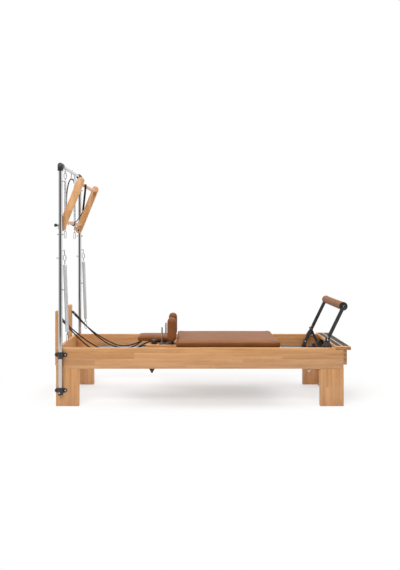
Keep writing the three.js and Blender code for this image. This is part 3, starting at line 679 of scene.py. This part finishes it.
STRAP_GATE = rod(0.0032, 0, 0.018)


def strap_snap(name, end, way):
    """A snap hook that a strap ends in: a swivel barrel, a wire loop and its gate."""
    top, down = Vector(end), Vector(way).normalized()
    wide = down.cross(Y).normalized()
    snap = join_all(name, [
        lathe("swivel", SWIVEL, top, down, 16),
        tube("hook", oblong(top + down * HOOK_DROP, down, SNAP_LENGTH, STRAP_HOOK, wide), 0.002, closed=True),
        lathe("gate", STRAP_GATE, top + down * GATE_DROP + wide * STRAP_HOOK, down, 12)])
    return finish_piece(snap, CHROME)


def make_straps():
    route = list(reversed(smooth_route([place(*p) for p in SAFETY_STRAP])))
    strap = tube("safety_strap_braided", route, STRAP_RADIUS, CORD_SIDES)
    finish_piece(strap, BRAID, node="safety_strap")
    low_snap = strap_snap("safety_snap_low", route[-1], route[-1] - route[-2])
    high_snap = strap_snap("safety_snap_high", route[0], SNAP_WAY)
    make_bar_strap()


def make_bar_strap():
    """A flat strap that hangs from the top dowel in a loop, a ring, and a cord from it to the lower dowel."""
    route = smooth_route([place(*p) for p in BAR_STRAP])
    strap = tube("bar_strap_webbing", route, BAR_STRAP_HALF, CORD_SIDES, flat=0.2)
    finish_piece(strap, WEBBING, "push_bar", "bar_strap")
    link_points = oblong(route[-1] + Z * 0.005, route[-1] - route[-2], 0.015, 0.0075, X)
    ring = finish_piece(tube("bar_strap_ring", link_points, 0.0019, closed=True), CHROME, "push_bar")
    x, z, radius = DOWEL_WRAP
    wrap = []
    for step in range(1, WRAP_STEPS + 1):
        angle = math.radians(WRAP_START - WRAP_STEP * step)
        wrap.append((x + radius * math.cos(angle), WRAP_Y + WRAP_LEAD * step, z + radius * math.sin(angle)))
    path = smooth_route([place(*p) for p in BAR_CORD + wrap])
    cord = finish_piece(tube("bar_cord_braided", path, BAR_CORD_RADIUS, CORD_SIDES), BRAID, "push_bar")


make_ropes()
make_straps()


# Wooden boards with eased edges
BOARD_EASE, BAR_EASE, CARRIAGE_EASE = 0.0022, 0.003, 0.0015


def make_boards():
    plan = [("head_cross_board", WOOD_CROSS), ("foot_cross_board", WOOD_CROSS), ("foot_platform", WOOD_DECK)]
    for label in SIDES:
        plan.append((f"side_rail_{label}", WOOD_RAIL))
        plan += [(f"leg_{end}_{label}", WOOD_LEG) for end in ("head", "foot")]
    for node, material in plan:
        board = finish_piece(bevelled(node, BOARD_EASE), material)
        if node in ("foot_cross_board", "foot_platform"):
            paint_faces(board, WOOD_END, lambda polygon: abs(polygon.normal.y) > 0.9)
    for label in SIDES:
        finish_piece(bevelled(f"push_board_{label}", BAR_EASE, 3), WOOD_BAR, "push_bar")
    for node in ("push_dowel_top", "push_dowel_low"):
        finish_dowel(node)
    finish_piece(bevelled("carriage_board", CARRIAGE_EASE), WOOD_BOARD, "carriage")


def round_box(node):
    """Centre in the middle of the unit, half length and radius of a node that lies across it."""
    low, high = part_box(node)
    middle = (low + high) / 2
    return (middle.x, 0, middle.z), (high.y - low.y) / 2, (high.z - low.z) / 2


def finish_dowel(node):
    centre, half, radius = round_box(node)
    turned(f"{node}_turned", rod(radius, -half, half), centre, Y, 32, WOOD_DOWEL, "push_bar", node)


make_boards()


# Riser posts, with the pulley block built in metal
POST_LOW, POST_HIGH = 0.31, 0.761
POST_THICK, POST_HALF, POST_GAP = 0.0317, 0.03, 0.0003
EYE_Z = 0.7075
CHEEK_LOW, CHEEK_HIGH = Vector((-0.05, -0.008, 0.0075)), Vector((0.008, 0.008, 0.0095))
BRIDGE_END = -0.027
PIN = [(TIP, -0.0117), (0.0055, -0.0117), (0.0055, -0.0096), (0.003, -0.0095),
       (0.003, 0.0095), (0.0055, 0.0096), (0.0055, 0.0117), (TIP, 0.0117)]
SHANK = rod(0.004, -0.062, -0.049)
WASHER = [(0.001, 0), (0.013, 0), (0.013, 0.002), (0.009, 0.003), (0.001, 0.003)]
SHEAVE = [(0.0034, -0.0072), (0.0185, -0.0072), (0.019, -0.0067), (0.019, -0.0062), (0.0165, -0.006),
          (0.0135, -0.0044), (0.012, 0), (0.0135, 0.0044), (0.0165, 0.006), (0.019, 0.0062),
          (0.019, 0.0067), (0.0185, 0.0072), (0.0034, 0.0072)]


def pulley_block(name):
    """Two cheeks, the bridge between them, the pin and the shank, round the origin."""
    parts = []
    for sign in (-1, 1):
        cheek = board_mesh("cheek", CHEEK_LOW, CHEEK_HIGH, 0.0008)
        if sign < 0:
            cheek.data.transform(Matrix.Scale(-1, 4, Z))
            cheek.data.flip_normals()
        parts.append(cheek)
    low, high = CHEEK_LOW.copy(), CHEEK_HIGH.copy()
    low.z, high.x = -high.z, BRIDGE_END
    parts.append(board_mesh("bridge", low, high, 0.0008))
    parts.append(lathe("pin", PIN, (0, 0, 0), Z, 16))
    parts.append(lathe("shank", SHANK, (0, 0, 0), X, 16))
    return join_all(name, parts)


def make_risers():
    turn = Matrix((ROPE_WAY, PIN_WAY.cross(ROPE_WAY), PIN_WAY)).transposed().to_4x4()
    for label, side in SIDES.items():
        y = side * PULLEY_Y
        post = board_mesh(f"riser_post_{label}_eased", place(-POST_GAP - POST_THICK, y - POST_HALF, POST_LOW),
                          place(-POST_GAP, y + POST_HALF, POST_HIGH), 0.003, 3)
        finish_piece(post, WOOD_POST, node=f"riser_post_{label}")
        where = Matrix.Translation(place(PULLEY[0], y, PULLEY[1])) @ turn
        block = pulley_block(f"pulley_block_{label}")
        block.data.transform(where)
        smooth_by_angle(block)
        finish_piece(block, BLACK_STEEL)
        turned(f"pulley_washer_{label}", WASHER, place(-POST_GAP, y, EYE_Z), X, 24, CHROME)
        sheave = lathe(f"rope_sheave_{label}_turned", SHEAVE, (0, 0, 0), Z, 40)
        sheave.data.transform(where)
        finish_piece(sheave, BLACK_PLASTIC, f"rope_sheave_{label}", f"rope_sheave_{label}")


make_risers()


# Tower: tubes, fittings and clamps
TUBE_X = 0.042
TUBE_Y = 0.3681
TUBE_SKIN = 0.0164
CROSSBAR_Z, CROSSBAR_SKIN = 1.955, 0.0145
BUSH_Z, BUSH_HALF = 1.471, 0.012
EYEBOLTS = [(1, 1.827), (1, 1.547), (1, 1.396), (-1, 1.396), (1, 0.948)]
SCREW_HEAD = [(TIP, 0.0002), (0.0062, 0.0002), (0.0062, 0.002), (0.0042, 0.0042), (TIP, 0.0046)]
CLAMPS = [("upper", 0.42), ("lower", 0.13)]
CLAMP_SCREWS = [(0.077, CHROME), (0.007, BLACK_STEEL)]
CLAMP_SCREW_Y = 0.3518
CUP_SCREW_X, CUP_SCREW_Y, CUP_SCREW_Z = TUBE_X - 0.004, TUBE_Y + 0.0202, 0.118
CLAMP_EASE = 0.0012
EYE_NUT = [(TIP, 0), (0.0048, 0), (0.0048, 0.003), (0.0036, 0.004), (TIP, 0.004)]
NUB = [(TIP, 0.012), (0.0055, 0.012), (0.0055, 0.0185), (0.004, 0.0215), (TIP, 0.022)]
NUB_Y = 0.055
EYE_START, EYE_DROP, EYE_LENGTH, EYE_HALF, EYE_WIRE = 0.015, 0.0045, 0.0085, 0.0042, 0.0017
PULL_KNOB_X = 0.0043
PULL_KNOB = [(TIP, -0.014), (0.006, -0.0128), (0.0105, -0.0095), (0.0135, -0.004), (0.014, 0.0005),
             (0.013, 0.0055), (0.01, 0.0098), (0.0058, 0.0122), (0.004, 0.0128), (0.004, 0.0214),
             (TIP, 0.0214)]


def off_tube(polygon):
    return abs(polygon.center.x - HEAD_FACE - TUBE_X) > TUBE_SKIN


def on_bush(polygon):
    return polygon.center.x < HEAD_FACE + TUBE_X - TUBE_SKIN and abs(polygon.center.z - BUSH_Z) < BUSH_HALF


def under_crossbar(polygon):
    return polygon.center.z < CROSSBAR_Z - CROSSBAR_SKIN


def make_eyebolt(name, way, y, z):
    """A small eye with its nut, on the head side or the foot side of a tube."""
    start, out = place(TUBE_X + way * EYE_START, y, z), X * way
    nut = lathe("nut", EYE_NUT, start, out, 6)
    ring = tube("ring", oblong(start + out * EYE_DROP, out, EYE_LENGTH, EYE_HALF, Z), EYE_WIRE, closed=True)
    eyebolt = join_all(name, [nut, ring])
    finish_piece(eyebolt, WIRE_STEEL)


def smooth_node(node, material):
    """A finer copy of a CAD node with the same faces, shaded smooth."""
    obj = copy_of(node, f"{node}_smooth")
    smooth_by_angle(obj, SMOOTH_DEGREES)
    finish_piece(obj, material, frame["nodes"][node]["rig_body"], node)
    return obj


def make_tower():
    for label, side in SIDES.items():
        y = side * TUBE_Y
        upright = smooth_node(f"upright_{label}", CHROME)
        paint_faces(upright, WIRE_STEEL, off_tube)
        paint_faces(upright, BRASS, on_bush)
        for way, z in EYEBOLTS:
            make_eyebolt(f"eyebolt_{label}_{round(z * 1000)}_{'right' if way > 0 else 'left'}", way, y, z)
        finish_piece(bevelled(f"corner_fitting_{label}", CLAMP_EASE), BLACK_PLASTIC)
        for node in (f"upper_clamp_{label}", f"lower_cup_{label}"):
            finish_piece(bevelled(node, CLAMP_EASE), BLACK_STEEL)
        out = (0, side, 0)
        for name, z in CLAMPS:
            for x, metal in CLAMP_SCREWS:
                turned(f"{name}_clamp_screw_{label}_{round(x * 1000)}", SCREW_HEAD,
                       place(x, side * CLAMP_SCREW_Y, z), out, 20, metal)
        cup = place(CUP_SCREW_X, side * CUP_SCREW_Y, CUP_SCREW_Z)
        turned(f"cup_set_screw_{label}", SCREW_HEAD, cup, out, 20, CHROME)
        knob = f"pull_knob_{label}"
        turned(f"{knob}_turned", PULL_KNOB, place(PULL_KNOB_X, y, BUSH_Z), X, 32, BLACK_PLASTIC, knob, knob)
    paint_faces(smooth_node("tower_crossbar", CHROME), WIRE_STEEL, under_crossbar)
    turned("crossbar_nub", NUB, place(TUBE_X, NUB_Y, CROSSBAR_Z), Z, 16, WIRE_STEEL)


make_tower()


# Springs: close wound coils with hooks, rings and snap hooks. A row gives the eye's place, the lean in
# degrees, the runs from the eye to the upper snap hook, to the coil's two ends and to the lower end, the
# coil's radius, wire and turns, and the half width of the lower link.
SPRINGS = [
    ("side", 0.0745, TUBE_Y, 1.265, 2.0, 0.034, 0.108, 0.662, 0.747, 0.0132, 0.0016, 156, 0.009),
    ("top", 0.036, 0.18, 1.929, 0.0, 0.012, 0.072, 0.487, 0.561, 0.0087, 0.0012, 150, 0.008)]
SNAP_HALF, SNAP_WIRE = 0.0105, 0.0022
SHACKLE_START, SHACKLE_HALF, SHACKLE_WIRE = 0.003, 0.0055, 0.0018
GATE = rod(0.0034, 0, 0.02)
HOOK_HALF = 0.006
CARRIAGE_COIL, CARRIAGE_WIRE, CARRIAGE_TURNS, CARRIAGE_LEAD = 0.0098, 0.0021, 110, 0.03


def helix(start, down, length, radius, turns, lead=0.006, steps=10):
    """Points of a coil along down, with straight ends on its axis."""
    start, way = Vector(start), Vector(down).normalized()
    side = (Y - way * Y.dot(way)).normalized()
    front = way.cross(side)
    points = [start, start + way * lead * 0.5]
    count = turns * steps
    for i in range(count + 1):
        angle = 2 * math.pi * i / steps
        grow = min(1.0, i / steps + 0.15, (count - i) / steps + 0.15)
        run = lead + (length - 2 * lead) * i / count
        around = side * math.cos(angle) + front * math.sin(angle)
        points.append(start + way * run + around * radius * grow)
    points += [start + way * (length - lead * 0.5), start + way * length]
    return points


def hanging_spring(node, start, lean, drop, coil_top, coil_end, finish,
                   radius, wire, turns, link_half):
    angle = math.radians(lean)
    down = Vector((math.sin(angle), 0, -math.cos(angle)))
    side = down.cross(Y).normalized()
    coil = coil_end - coil_top

    def at(run):
        return start + down * run

    def loop(name, run, length, half, thick, wide=Y):
        made = tube(name, oblong(at(run), down, length, half, wide), thick, closed=True)
        return in_material(made, WIRE_STEEL)

    core = [(0.001, 0), (radius * 0.6, 0.004), (radius, 0.016), (radius, coil - 0.016),
            (radius * 0.6, coil - 0.004), (0.001, coil)]
    gate = lathe("gate", GATE, at(drop + 0.033) + side * SNAP_HALF, -down, 12)
    windings = tube("coil", helix(at(coil_top - 0.002), down, coil + 0.004, radius, turns), wire, 6)
    spring = join_all(f"{node}_wound", [
        loop("shackle", SHACKLE_START, drop + 0.004, SHACKLE_HALF, SHACKLE_WIRE),
        loop("snap", drop, SNAP_LENGTH, SNAP_HALF, SNAP_WIRE, side),
        in_material(gate, WIRE_STEEL),
        loop("hook", drop + 0.041, coil_top - drop - 0.031, HOOK_HALF, wire * 1.2),
        in_material(windings, SPRING_STEEL),
        in_material(lathe("coil_core", core, at(coil_top), down, 20), SPRING_STEEL),
        loop("end_hook", coil_end - 0.008, 0.028, link_half * 0.8, wire * 1.1),
        loop("end_snap", coil_end + 0.014, finish - coil_end - 0.014, link_half, SNAP_WIRE, side)])
    finish_piece(spring, WIRE_STEEL, node, node)


def make_springs():
    for label, side in SIDES.items():
        for kind, x, y, z, *shape in SPRINGS:
            hanging_spring(f"{kind}_spring_{label}", place(x, side * y, z), *shape)
    for label in ("near", "middle", "far"):
        node = f"carriage_spring_{label}"
        low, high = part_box(node)
        start = Vector((low.x, (low.y + high.y) / 2, (low.z + high.z) / 2))
        points = helix(start, X, high.x - low.x, CARRIAGE_COIL, CARRIAGE_TURNS, CARRIAGE_LEAD)
        coil = in_material(tube(f"{node}_wound", points, CARRIAGE_WIRE, 6), SPRING_STEEL)
        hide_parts(node)
        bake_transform(coil)


make_springs()


# Upholstery: node, body, moves of the box's two corners, edge, crown, pull, spacing and fill of each cushion
REST_COVER = ((-0.006, 0.001, 0), (-0.001, -0.001, -0.001), 0.036, 0.0, 0.002, 0.011, 0.9)
CUSHIONS = [
    ("carriage_pad", "carriage", (-0.003, 0, 0), (0.002, 0, -0.003), 0.0085, 0.004, 0.002, 0.022, 0.9),
    ("headrest", "headrest", (0.002, 0.002, 0), (-0.002, -0.002, -0.002), 0.017, 0.003, 0.003, 0.012, 0.85)]
CUSHIONS += [(f"shoulder_rest_{label}", f"shoulder_rest_{label}", *REST_COVER) for label in SIDES]
HEADREST_LOW = 0.48
HINGE_X, HINGE_Z, HINGE_HALF, HINGE_RADIUS = 0.909, 0.476, 0.04, 0.007
NECK_LOW, NECK_HIGH = 0.477, 0.488
PROP_LOW, PROP_HIGH = (0.735, -0.06, 0.4685), (0.755, 0.06, 0.488)


def cushion(name, low, high, edge, crown, pull, spacing):
    """A crowned cushion with rounded edges whose sides draw in between its corners."""
    low, high = Vector(low), Vector(high)
    size, middle = high - low, (high + low) / 2
    counts = [max(4, round(s / spacing)) for s in size]
    half = size / 2
    grid, verts, faces = {}, [], []

    def vertex(i, j, k):
        key = (i, j, k)
        if key not in grid:
            share = [2 * n / c - 1 for n, c in zip(key, counts)]
            point = Vector([s * h for s, h in zip(share, half)])
            core = Vector([max(edge - h, min(h - edge, p)) for p, h in zip(point, half)])
            out = point - core
            if out.length > 0:
                out.normalize()
                point = core + out * edge
            for one, other in ((0, 1), (1, 0)):
                point[one] -= math.copysign(pull, share[one]) * share[one] ** 4 * (1 - share[other] ** 4)
            if share[2] > 0:
                point.z += crown * share[2] * (1 - share[0] ** 2) * (1 - share[1] ** 2) - crown
            grid[key] = len(verts)
            verts.append(point + middle)
        return grid[key]

    def quad(*corners):
        faces.append([vertex(*corner) for corner in corners])

    nx, ny, nz = counts
    for i in range(nx):
        for j in range(ny):
            quad((i, j, 0), (i, j + 1, 0), (i + 1, j + 1, 0), (i + 1, j, 0))
            quad((i, j, nz), (i + 1, j, nz), (i + 1, j + 1, nz), (i, j + 1, nz))
    for i in range(nx):
        for k in range(nz):
            quad((i, 0, k), (i + 1, 0, k), (i + 1, 0, k + 1), (i, 0, k + 1))
            quad((i, ny, k), (i, ny, k + 1), (i + 1, ny, k + 1), (i + 1, ny, k))
    for j in range(ny):
        for k in range(nz):
            quad((0, j, k), (0, j, k + 1), (0, j + 1, k + 1), (0, j + 1, k))
            quad((nx, j, k), (nx, j + 1, k), (nx, j + 1, k + 1), (nx, j, k + 1))
    return new_object(name, verts, faces)


def puff(obj, frames=14, cap=0.004, pressure=3.0, held=0.006):
    """Lets a cushion swell as cloth under pressure, with its movement capped and its underside held."""
    mesh = obj.data
    start = [v.co.copy() for v in mesh.vertices]
    floor = min(c.z for c in start)
    group = obj.vertex_groups.new(name="held")
    group.add([i for i, c in enumerate(start) if c.z < floor + held], 1.0, "ADD")
    settings = obj.modifiers.new("swell", "CLOTH").settings
    set_values(settings, use_pressure=True, uniform_pressure_force=pressure, tension_stiffness=12,
               bending_stiffness=2, vertex_group_mass="held")
    settings.effector_weights.gravity = 0
    scene = bpy.context.scene
    for step in range(1, frames + 1):
        scene.frame_set(step)
    swollen = baked(obj)
    scene.frame_set(1)
    for vertex, before, after in zip(mesh.vertices, start, swollen.vertices):
        move = after.co - before
        if move.length > cap:
            move = move.normalized() * cap
        vertex.co = before + move
    bpy.data.meshes.remove(swollen)


def finish_cushion(obj, node, body):
    puff(obj)
    set_values(obj.modifiers.new("fine", "SUBSURF"), levels=1, render_levels=1)
    obj.data = baked(obj)
    obj.data.shade_smooth()
    finish_piece(obj, LEATHER, body, node)


def make_upholstery():
    for node, body, low_by, high_by, edge, crown, pull, spacing, fill_by in CUSHIONS:
        low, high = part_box(node)
        if node == "headrest":
            low.z = HEADREST_LOW
        corners = low + Vector(low_by), high + Vector(high_by)
        cover = cushion(f"{node}_cover", *corners, edge, crown, pull, spacing)
        finish_cushion(cover, node, body)
    make_headrest_fittings()


def make_headrest_fittings():
    """The hinge's knuckle and the prop block under the headrest."""
    half, radius = HINGE_HALF, HINGE_RADIUS
    turned("headrest_knuckle", rod(radius, -half, half), place(HINGE_X, 0, HINGE_Z), Y, 24, BLACK_STEEL,
           "headrest")
    neck = board_mesh("headrest_neck", place(HINGE_X - radius, -half, NECK_LOW),
                      place(HINGE_X + radius, half, NECK_HIGH), 0.001)
    finish_piece(neck, BLACK_STEEL, "headrest")
    block = board_mesh("headrest_prop", place(*PROP_LOW), place(*PROP_HIGH), 0.002)
    finish_piece(block, WOOD_DOWEL, "headrest")


make_upholstery()


# Carriage fittings
BOARD_TOP = 0.4683
PLATE_TOP = 0.4753
PEG_TOP = 0.61
REST_X, REST_Y = 0.939, 0.158
PEG_X, PEG_TURN, PEG_Y = 0.8615, 0.0105, 0.128
PLATE_X, PLATE_Y = (0.827, 0.97), (0.108, 0.172)
PLATE_SCREW_X, PLATE_SCREW_Y = (0.8385, 0.9), (0.116, 0.162)
KNOB_X, KNOB_Y = 0.786, 0.14
ROPE_KNOB = [(TIP, 0.0), (0.0235, 0.0), (0.0255, 0.004), (0.0268, 0.012), (0.0268, 0.022),
             (0.0252, 0.031), (0.0205, 0.038), (0.011, 0.0416), (TIP, 0.0424)]
COLLAR = [(TIP, 0), (0.015, 0), (0.015, 0.013), (0.0135, 0.0144), (TIP, 0.0144)]
STEM = [(TIP, 0), (0.008, 0), (0.008, 0.0625), (TIP, 0.0627)]
PLATE_SCREW = [(TIP, 0.0), (0.0055, 0.0), (0.005, 0.0016), (0.003, 0.0024), (TIP, 0.0026)]
AXLE_Z, AXLE_HALF, AXLE_RADIUS, WHEEL_Y = 0.3943, 0.297, 0.006, 0.287
WHEEL = [(0.0062, -0.01), (0.0205, -0.01), (0.022, -0.0085), (0.022, 0.0085), (0.0205, 0.01),
         (0.015, 0.0094), (0.014, 0.0075), (0.009, 0.0075), (0.0085, 0.01), (0.0062, 0.01)]


def make_carriage():
    for label, side in SIDES.items():
        node = f"rope_knob_{label}"
        where = place(KNOB_X, side * KNOB_Y, BOARD_TOP)
        turned(f"{node}_turned", ROPE_KNOB, where, Z, 32, BLACK_PLASTIC, "carriage", node)
        make_shoulder_bracket(label, side)
    for node, x in (("wheelset_head", 1.01), ("wheelset_foot", 1.72)):
        make_wheelset(node, x)


def make_shoulder_bracket(label, side):
    low, high = sorted(side * y for y in PLATE_Y)
    plate = board_mesh("plate", place(PLATE_X[0], low, BOARD_TOP), place(PLATE_X[1], high, PLATE_TOP), 0.0012)
    top = PEG_TOP - PLATE_TOP
    peg = [(TIP, 0), (0.007, 0), (0.007, top - 0.002), (0.005, top), (TIP, top)]
    under_peg = place(PEG_X + side * PEG_TURN, side * PEG_Y, PLATE_TOP)
    under_rest = place(REST_X, side * REST_Y, PLATE_TOP)
    bracket = join_all(f"shoulder_bracket_{label}_built", [
        in_material(plate, BLACK_STEEL),
        in_material(lathe("collar", COLLAR, under_rest, Z, 28), BLACK_STEEL),
        in_material(lathe("peg", peg, under_peg, Z, 24), PEG_STEEL),
        in_material(lathe("stem", STEM, under_rest, Z, 24), PEG_STEEL)])
    finish_piece(bracket, BLACK_STEEL, "carriage", f"shoulder_bracket_{label}")
    for x in PLATE_SCREW_X:
        for y in PLATE_SCREW_Y:
            turned(f"plate_screw_{label}_{round(x * 1e4)}_{round(y * 1e3)}", PLATE_SCREW,
                   place(x, side * y, PLATE_TOP), Z, 20, CHROME, "carriage")


def make_wheelset(node, x):
    centre = place(x, 0, AXLE_Z)
    parts = [in_material(lathe("axle", rod(AXLE_RADIUS, -AXLE_HALF, AXLE_HALF), centre, Y, 20), CHROME)]
    for sign in (-1, 1):
        wheel = lathe("wheel", WHEEL, centre + Y * sign * WHEEL_Y, (0, sign, 0), 36)
        parts.append(in_material(wheel, BLACK_PLASTIC))
    wheels = join_all(f"{node}_turned", parts)
    finish_piece(wheels, BLACK_PLASTIC, node, node)


make_carriage()


# Footbar: a bolt's first depth is its outer side's, the second its nut's, and None leaves that one out
BOLT_HEAD = [(TIP, 0.0), (0.0075, 0.0), (0.0075, 0.0035), (0.006, 0.0055), (TIP, 0.006)]
BOLTS = [
    ("pivot", 2.167, 0.411, 0.2885, 0.278), ("prop", 2.221, 0.532, 0.2995, 0.278),
    ("upper", 2.225, 0.553, 0.288, 0.278), ("gusset", 2.227, 0.473, None, 0.278),
    ("cap", 2.358, 0.804, 0.2935, 0.278), ("foot", 2.28, 0.402, 0.2995, 0.291)]
GUSSET = [(2.204, 0.545), (2.237, 0.545), (2.241, 0.5), (2.232, 0.464), (2.219, 0.464), (2.21, 0.5)]
COVER = [(2.2, 0.512), (2.232, 0.512), (2.256, 0.474), (2.178, 0.474)]
PLATES = [("gusset", GUSSET, 0.2883, 0.2908, 0.0006, BLACK_STEEL),
          ("cover", COVER, 0.3, 0.303, 0.0009, GREY_STEEL)]
BUMPERS = [("rear", 2.3, 0.392, 0.026), ("front", 2.246, 0.378, 0.018)]
BUMPER_Y = 0.277
ROLL_SWELL, CAP_RADIUS = 0.0018, 0.0351
HEM_WALL, HEM_LENGTH, HEM_EASE, HEM_RUN = 0.0007, 0.0052, 0.002, 0.022


def make_roll():
    """The padded roll, whose cover is hemmed over the rims of its end caps."""
    centre, half, radius = round_box("footbar_roll")
    rim, hem, run = CAP_RADIUS + HEM_WALL, half + HEM_LENGTH, half - HEM_RUN
    end = [(TIP, -half), (CAP_RADIUS, -half), (CAP_RADIUS, -hem), (rim, -hem), (rim, HEM_EASE - half)]
    middle = [(radius + ROLL_SWELL, run * (i / 12 - 1)) for i in range(25)]
    profile = end + middle + [(r, -height) for r, height in reversed(end)]
    roll = turned("footbar_roll_cover", profile, centre, Y, 48, LEATHER, "footbar", "footbar_roll")


def make_footbar():
    for label in SIDES:
        strut = f"footbar_strut_{label}"
        bodies = {f"footbar_arm_{label}": "footbar", strut: strut, f"footbar_bracket_{label}": "root"}
        for node, body in bodies.items():
            finish_piece(bevelled(node, 0.001), BLACK_STEEL, body)
    make_roll()
    for label, side in SIDES.items():
        for name, x, z, outer, inner in BOLTS:
            body = f"footbar_strut_{label}" if name == "foot" else "footbar"
            for kind, depth, way in (("bolt", outer, side), ("nut", inner, -side)):
                if depth:
                    turned(f"footbar_{kind}_{name}_{label}", BOLT_HEAD, place(x, side * depth, z),
                           (0, way, 0), 24, CHROME, body)
        for name, outline, inner, outer, ease, metal in PLATES:
            plate = flat_plate(f"footbar_{name}_{label}", outline, side * inner, side * outer, ease)
            finish_piece(plate, metal, "footbar")
        for name, x, z, radius in BUMPERS:
            bumper = [(TIP, -0.012), (radius - 0.003, -0.012), (radius, -0.008), (radius, 0.008),
                      (radius - 0.003, 0.012), (TIP, 0.012)]
            where = place(x, side * BUMPER_Y, z)
            turned(f"rack_bumper_{name}_{label}", bumper, where, Y, 28, BLACK_PLASTIC)


make_footbar()


# Platform grip strips, the tracks and small fittings under the bed
GRIP_STRIPS = [("grip_strip_inner", 2.29, 2.331), ("grip_strip_outer", 2.345, 2.391)]
STRIP_HALF, STRIP_LOW, STRIP_HIGH = 0.315, 0.4839, 0.4852
LEG_BOLT = [(TIP, 0), (0.015, 0), (0.015, 0.002), (0.0085, 0.003), (0.0085, 0.007),
            (0.0065, 0.009), (TIP, 0.0095)]
LEG_BOLT_X, LEG_BOLT_Y, LEG_BOLT_Z = 2.208, 0.3124, 0.135
CLEAT = [(0.757, 0.3038), (0.804, 0.3038), (0.785, 0.268), (0.775, 0.268)]


def make_strips():
    for name, start, end in GRIP_STRIPS:
        strip = board_mesh(name, place(start, -STRIP_HALF, STRIP_LOW),
                           place(end, STRIP_HALF, STRIP_HIGH), 0.0004)
        finish_piece(strip, GRIP)
    for label in SIDES:
        coat(f"track_{label}", TRACK_METAL)
    coat("spring_bar", BLACK_STEEL)


def make_under_bed():
    for label, side in SIDES.items():
        where = place(LEG_BOLT_X, side * LEG_BOLT_Y, LEG_BOLT_Z)
        turned(f"leg_bolt_{label}", LEG_BOLT, where, (0, -side, 0), 28, CHROME)
        cleat = flat_plate(f"rail_cleat_{label}", CLEAT, side * 0.322, side * 0.338, 0.0016)
        finish_piece(cleat, BLACK_PLASTIC)


make_strips()
make_under_bed()


# Floor, world and lamps
FLOOR_HALF = 14.0
FLOOR_FRONT = -3.0
FADE_REACH = (1.6, 0.62)
FADE_BACK = 0.2


def seen_rays(tree):
    """1 for the rays that show the background: straight to the camera, mirrored or let through."""
    path = add_node(tree, "LightPath").outputs
    mirrored = maths("ADD", path["Is Glossy Ray"], path["Is Transmission Ray"])
    return maths("MINIMUM", maths("ADD", path["Is Camera Ray"], mirrored), 1.0)


def glow(tree, strength):
    return add_node(tree, "Emission", Color=(*WHITE, 1), Strength=strength).outputs[0]


def make_stage():
    """A white floor that keeps the unit's shadow near it and turns plain white farther out."""
    material, shader, coords = blank("studio_floor")
    tree = material.node_tree
    set_values(shader, Base_Color=(0.86, 0.86, 0.86, 1), Roughness=0.9, Specular_IOR_Level=0.0)
    pale = add_node(tree, "BsdfDiffuse", Color=(0.45, 0.45, 0.45, 1))
    near = add_node(tree, "AddShader")
    fill(near.inputs, (pale.outputs[0], glow(tree, 0.445)))
    along, across = FADE_REACH
    shift = (0, -FADE_BACK / across, 0)
    spread = stretched(coords, (1 / along, 1 / across, 1.0), shift)
    away = fed(spread, "VectorMath", 0, operation="LENGTH")["Value"]
    fade = fed(away, "MapRange", "Value", interpolation_type="SMOOTHSTEP", From_Min=0.8, From_Max=1.25)
    seen = mixed_shader(fade["Result"], near.outputs[0], glow(tree, 1.0))
    shown = mixed_shader(seen_rays(tree), shader.outputs[0], seen)
    link(shown, tree.nodes["Material Output"].inputs["Surface"])
    half, front = FLOOR_HALF, FLOOR_FRONT
    corners = [(-half, front, 0), (half, front, 0), (half, half, 0), (-half, half, 0)]
    in_material(new_object("floor", corners, [(0, 1, 2, 3)], smooth=False), material)


def make_world():
    """White all round, with a dark end behind the photographer that only mirrored rays and light show."""
    world = bpy.data.worlds.new("studio")
    bpy.context.scene.world = world
    world.use_nodes = True
    tree = world.node_tree
    parts = fed(add_node(tree, "TexCoord").outputs["Generated"], "SeparateXYZ")
    height = maths("MULTIPLY_ADD", parts[2], 0.5, 0.5)
    sky = ramp(height, (0.35, (0.8, 0.8, 0.8)), (0.75, WHITE))
    front = maths("MULTIPLY", parts[1], -1.0)
    room = ramp(front, (0.6, WHITE), (0.82, (0.04, 0.04, 0.04)))
    soft = set_values(tree.nodes["Background"], Strength=0.78)
    link(shaded(1.0, sky, room), soft.inputs["Color"])
    white = add_node(tree, "Background", Strength=1.0)
    straight = add_node(tree, "LightPath").outputs["Is Camera Ray"]
    link(mixed(straight, room, WHITE), white.inputs["Color"])
    shown = mixed_shader(seen_rays(tree), soft.outputs[0], white.outputs[0])
    link(shown, tree.nodes["World Output"].inputs["Surface"])


def area_lamp(name, where, aim, size, power):
    data = set_values(bpy.data.lights.new(name, "AREA"), shape="RECTANGLE", energy=power)
    data.size, data.size_y = size
    lamp = add_object(name, data)
    lamp.location = where
    lamp.rotation_euler = (Vector(aim) - Vector(where)).to_track_quat("-Z", "Y").to_euler()


make_stage()
make_world()
area_lamp("key_softbox", (-1.6, -3.6, 4.2), (0, 0, 0.4), (3.0, 2.0), 150)
area_lamp("top_softbox", (0.6, 0.6, 4.6), (0, 0, 0.4), (4.0, 2.4), 110)
bpy.context.scene.view_settings.view_transform = "Standard"
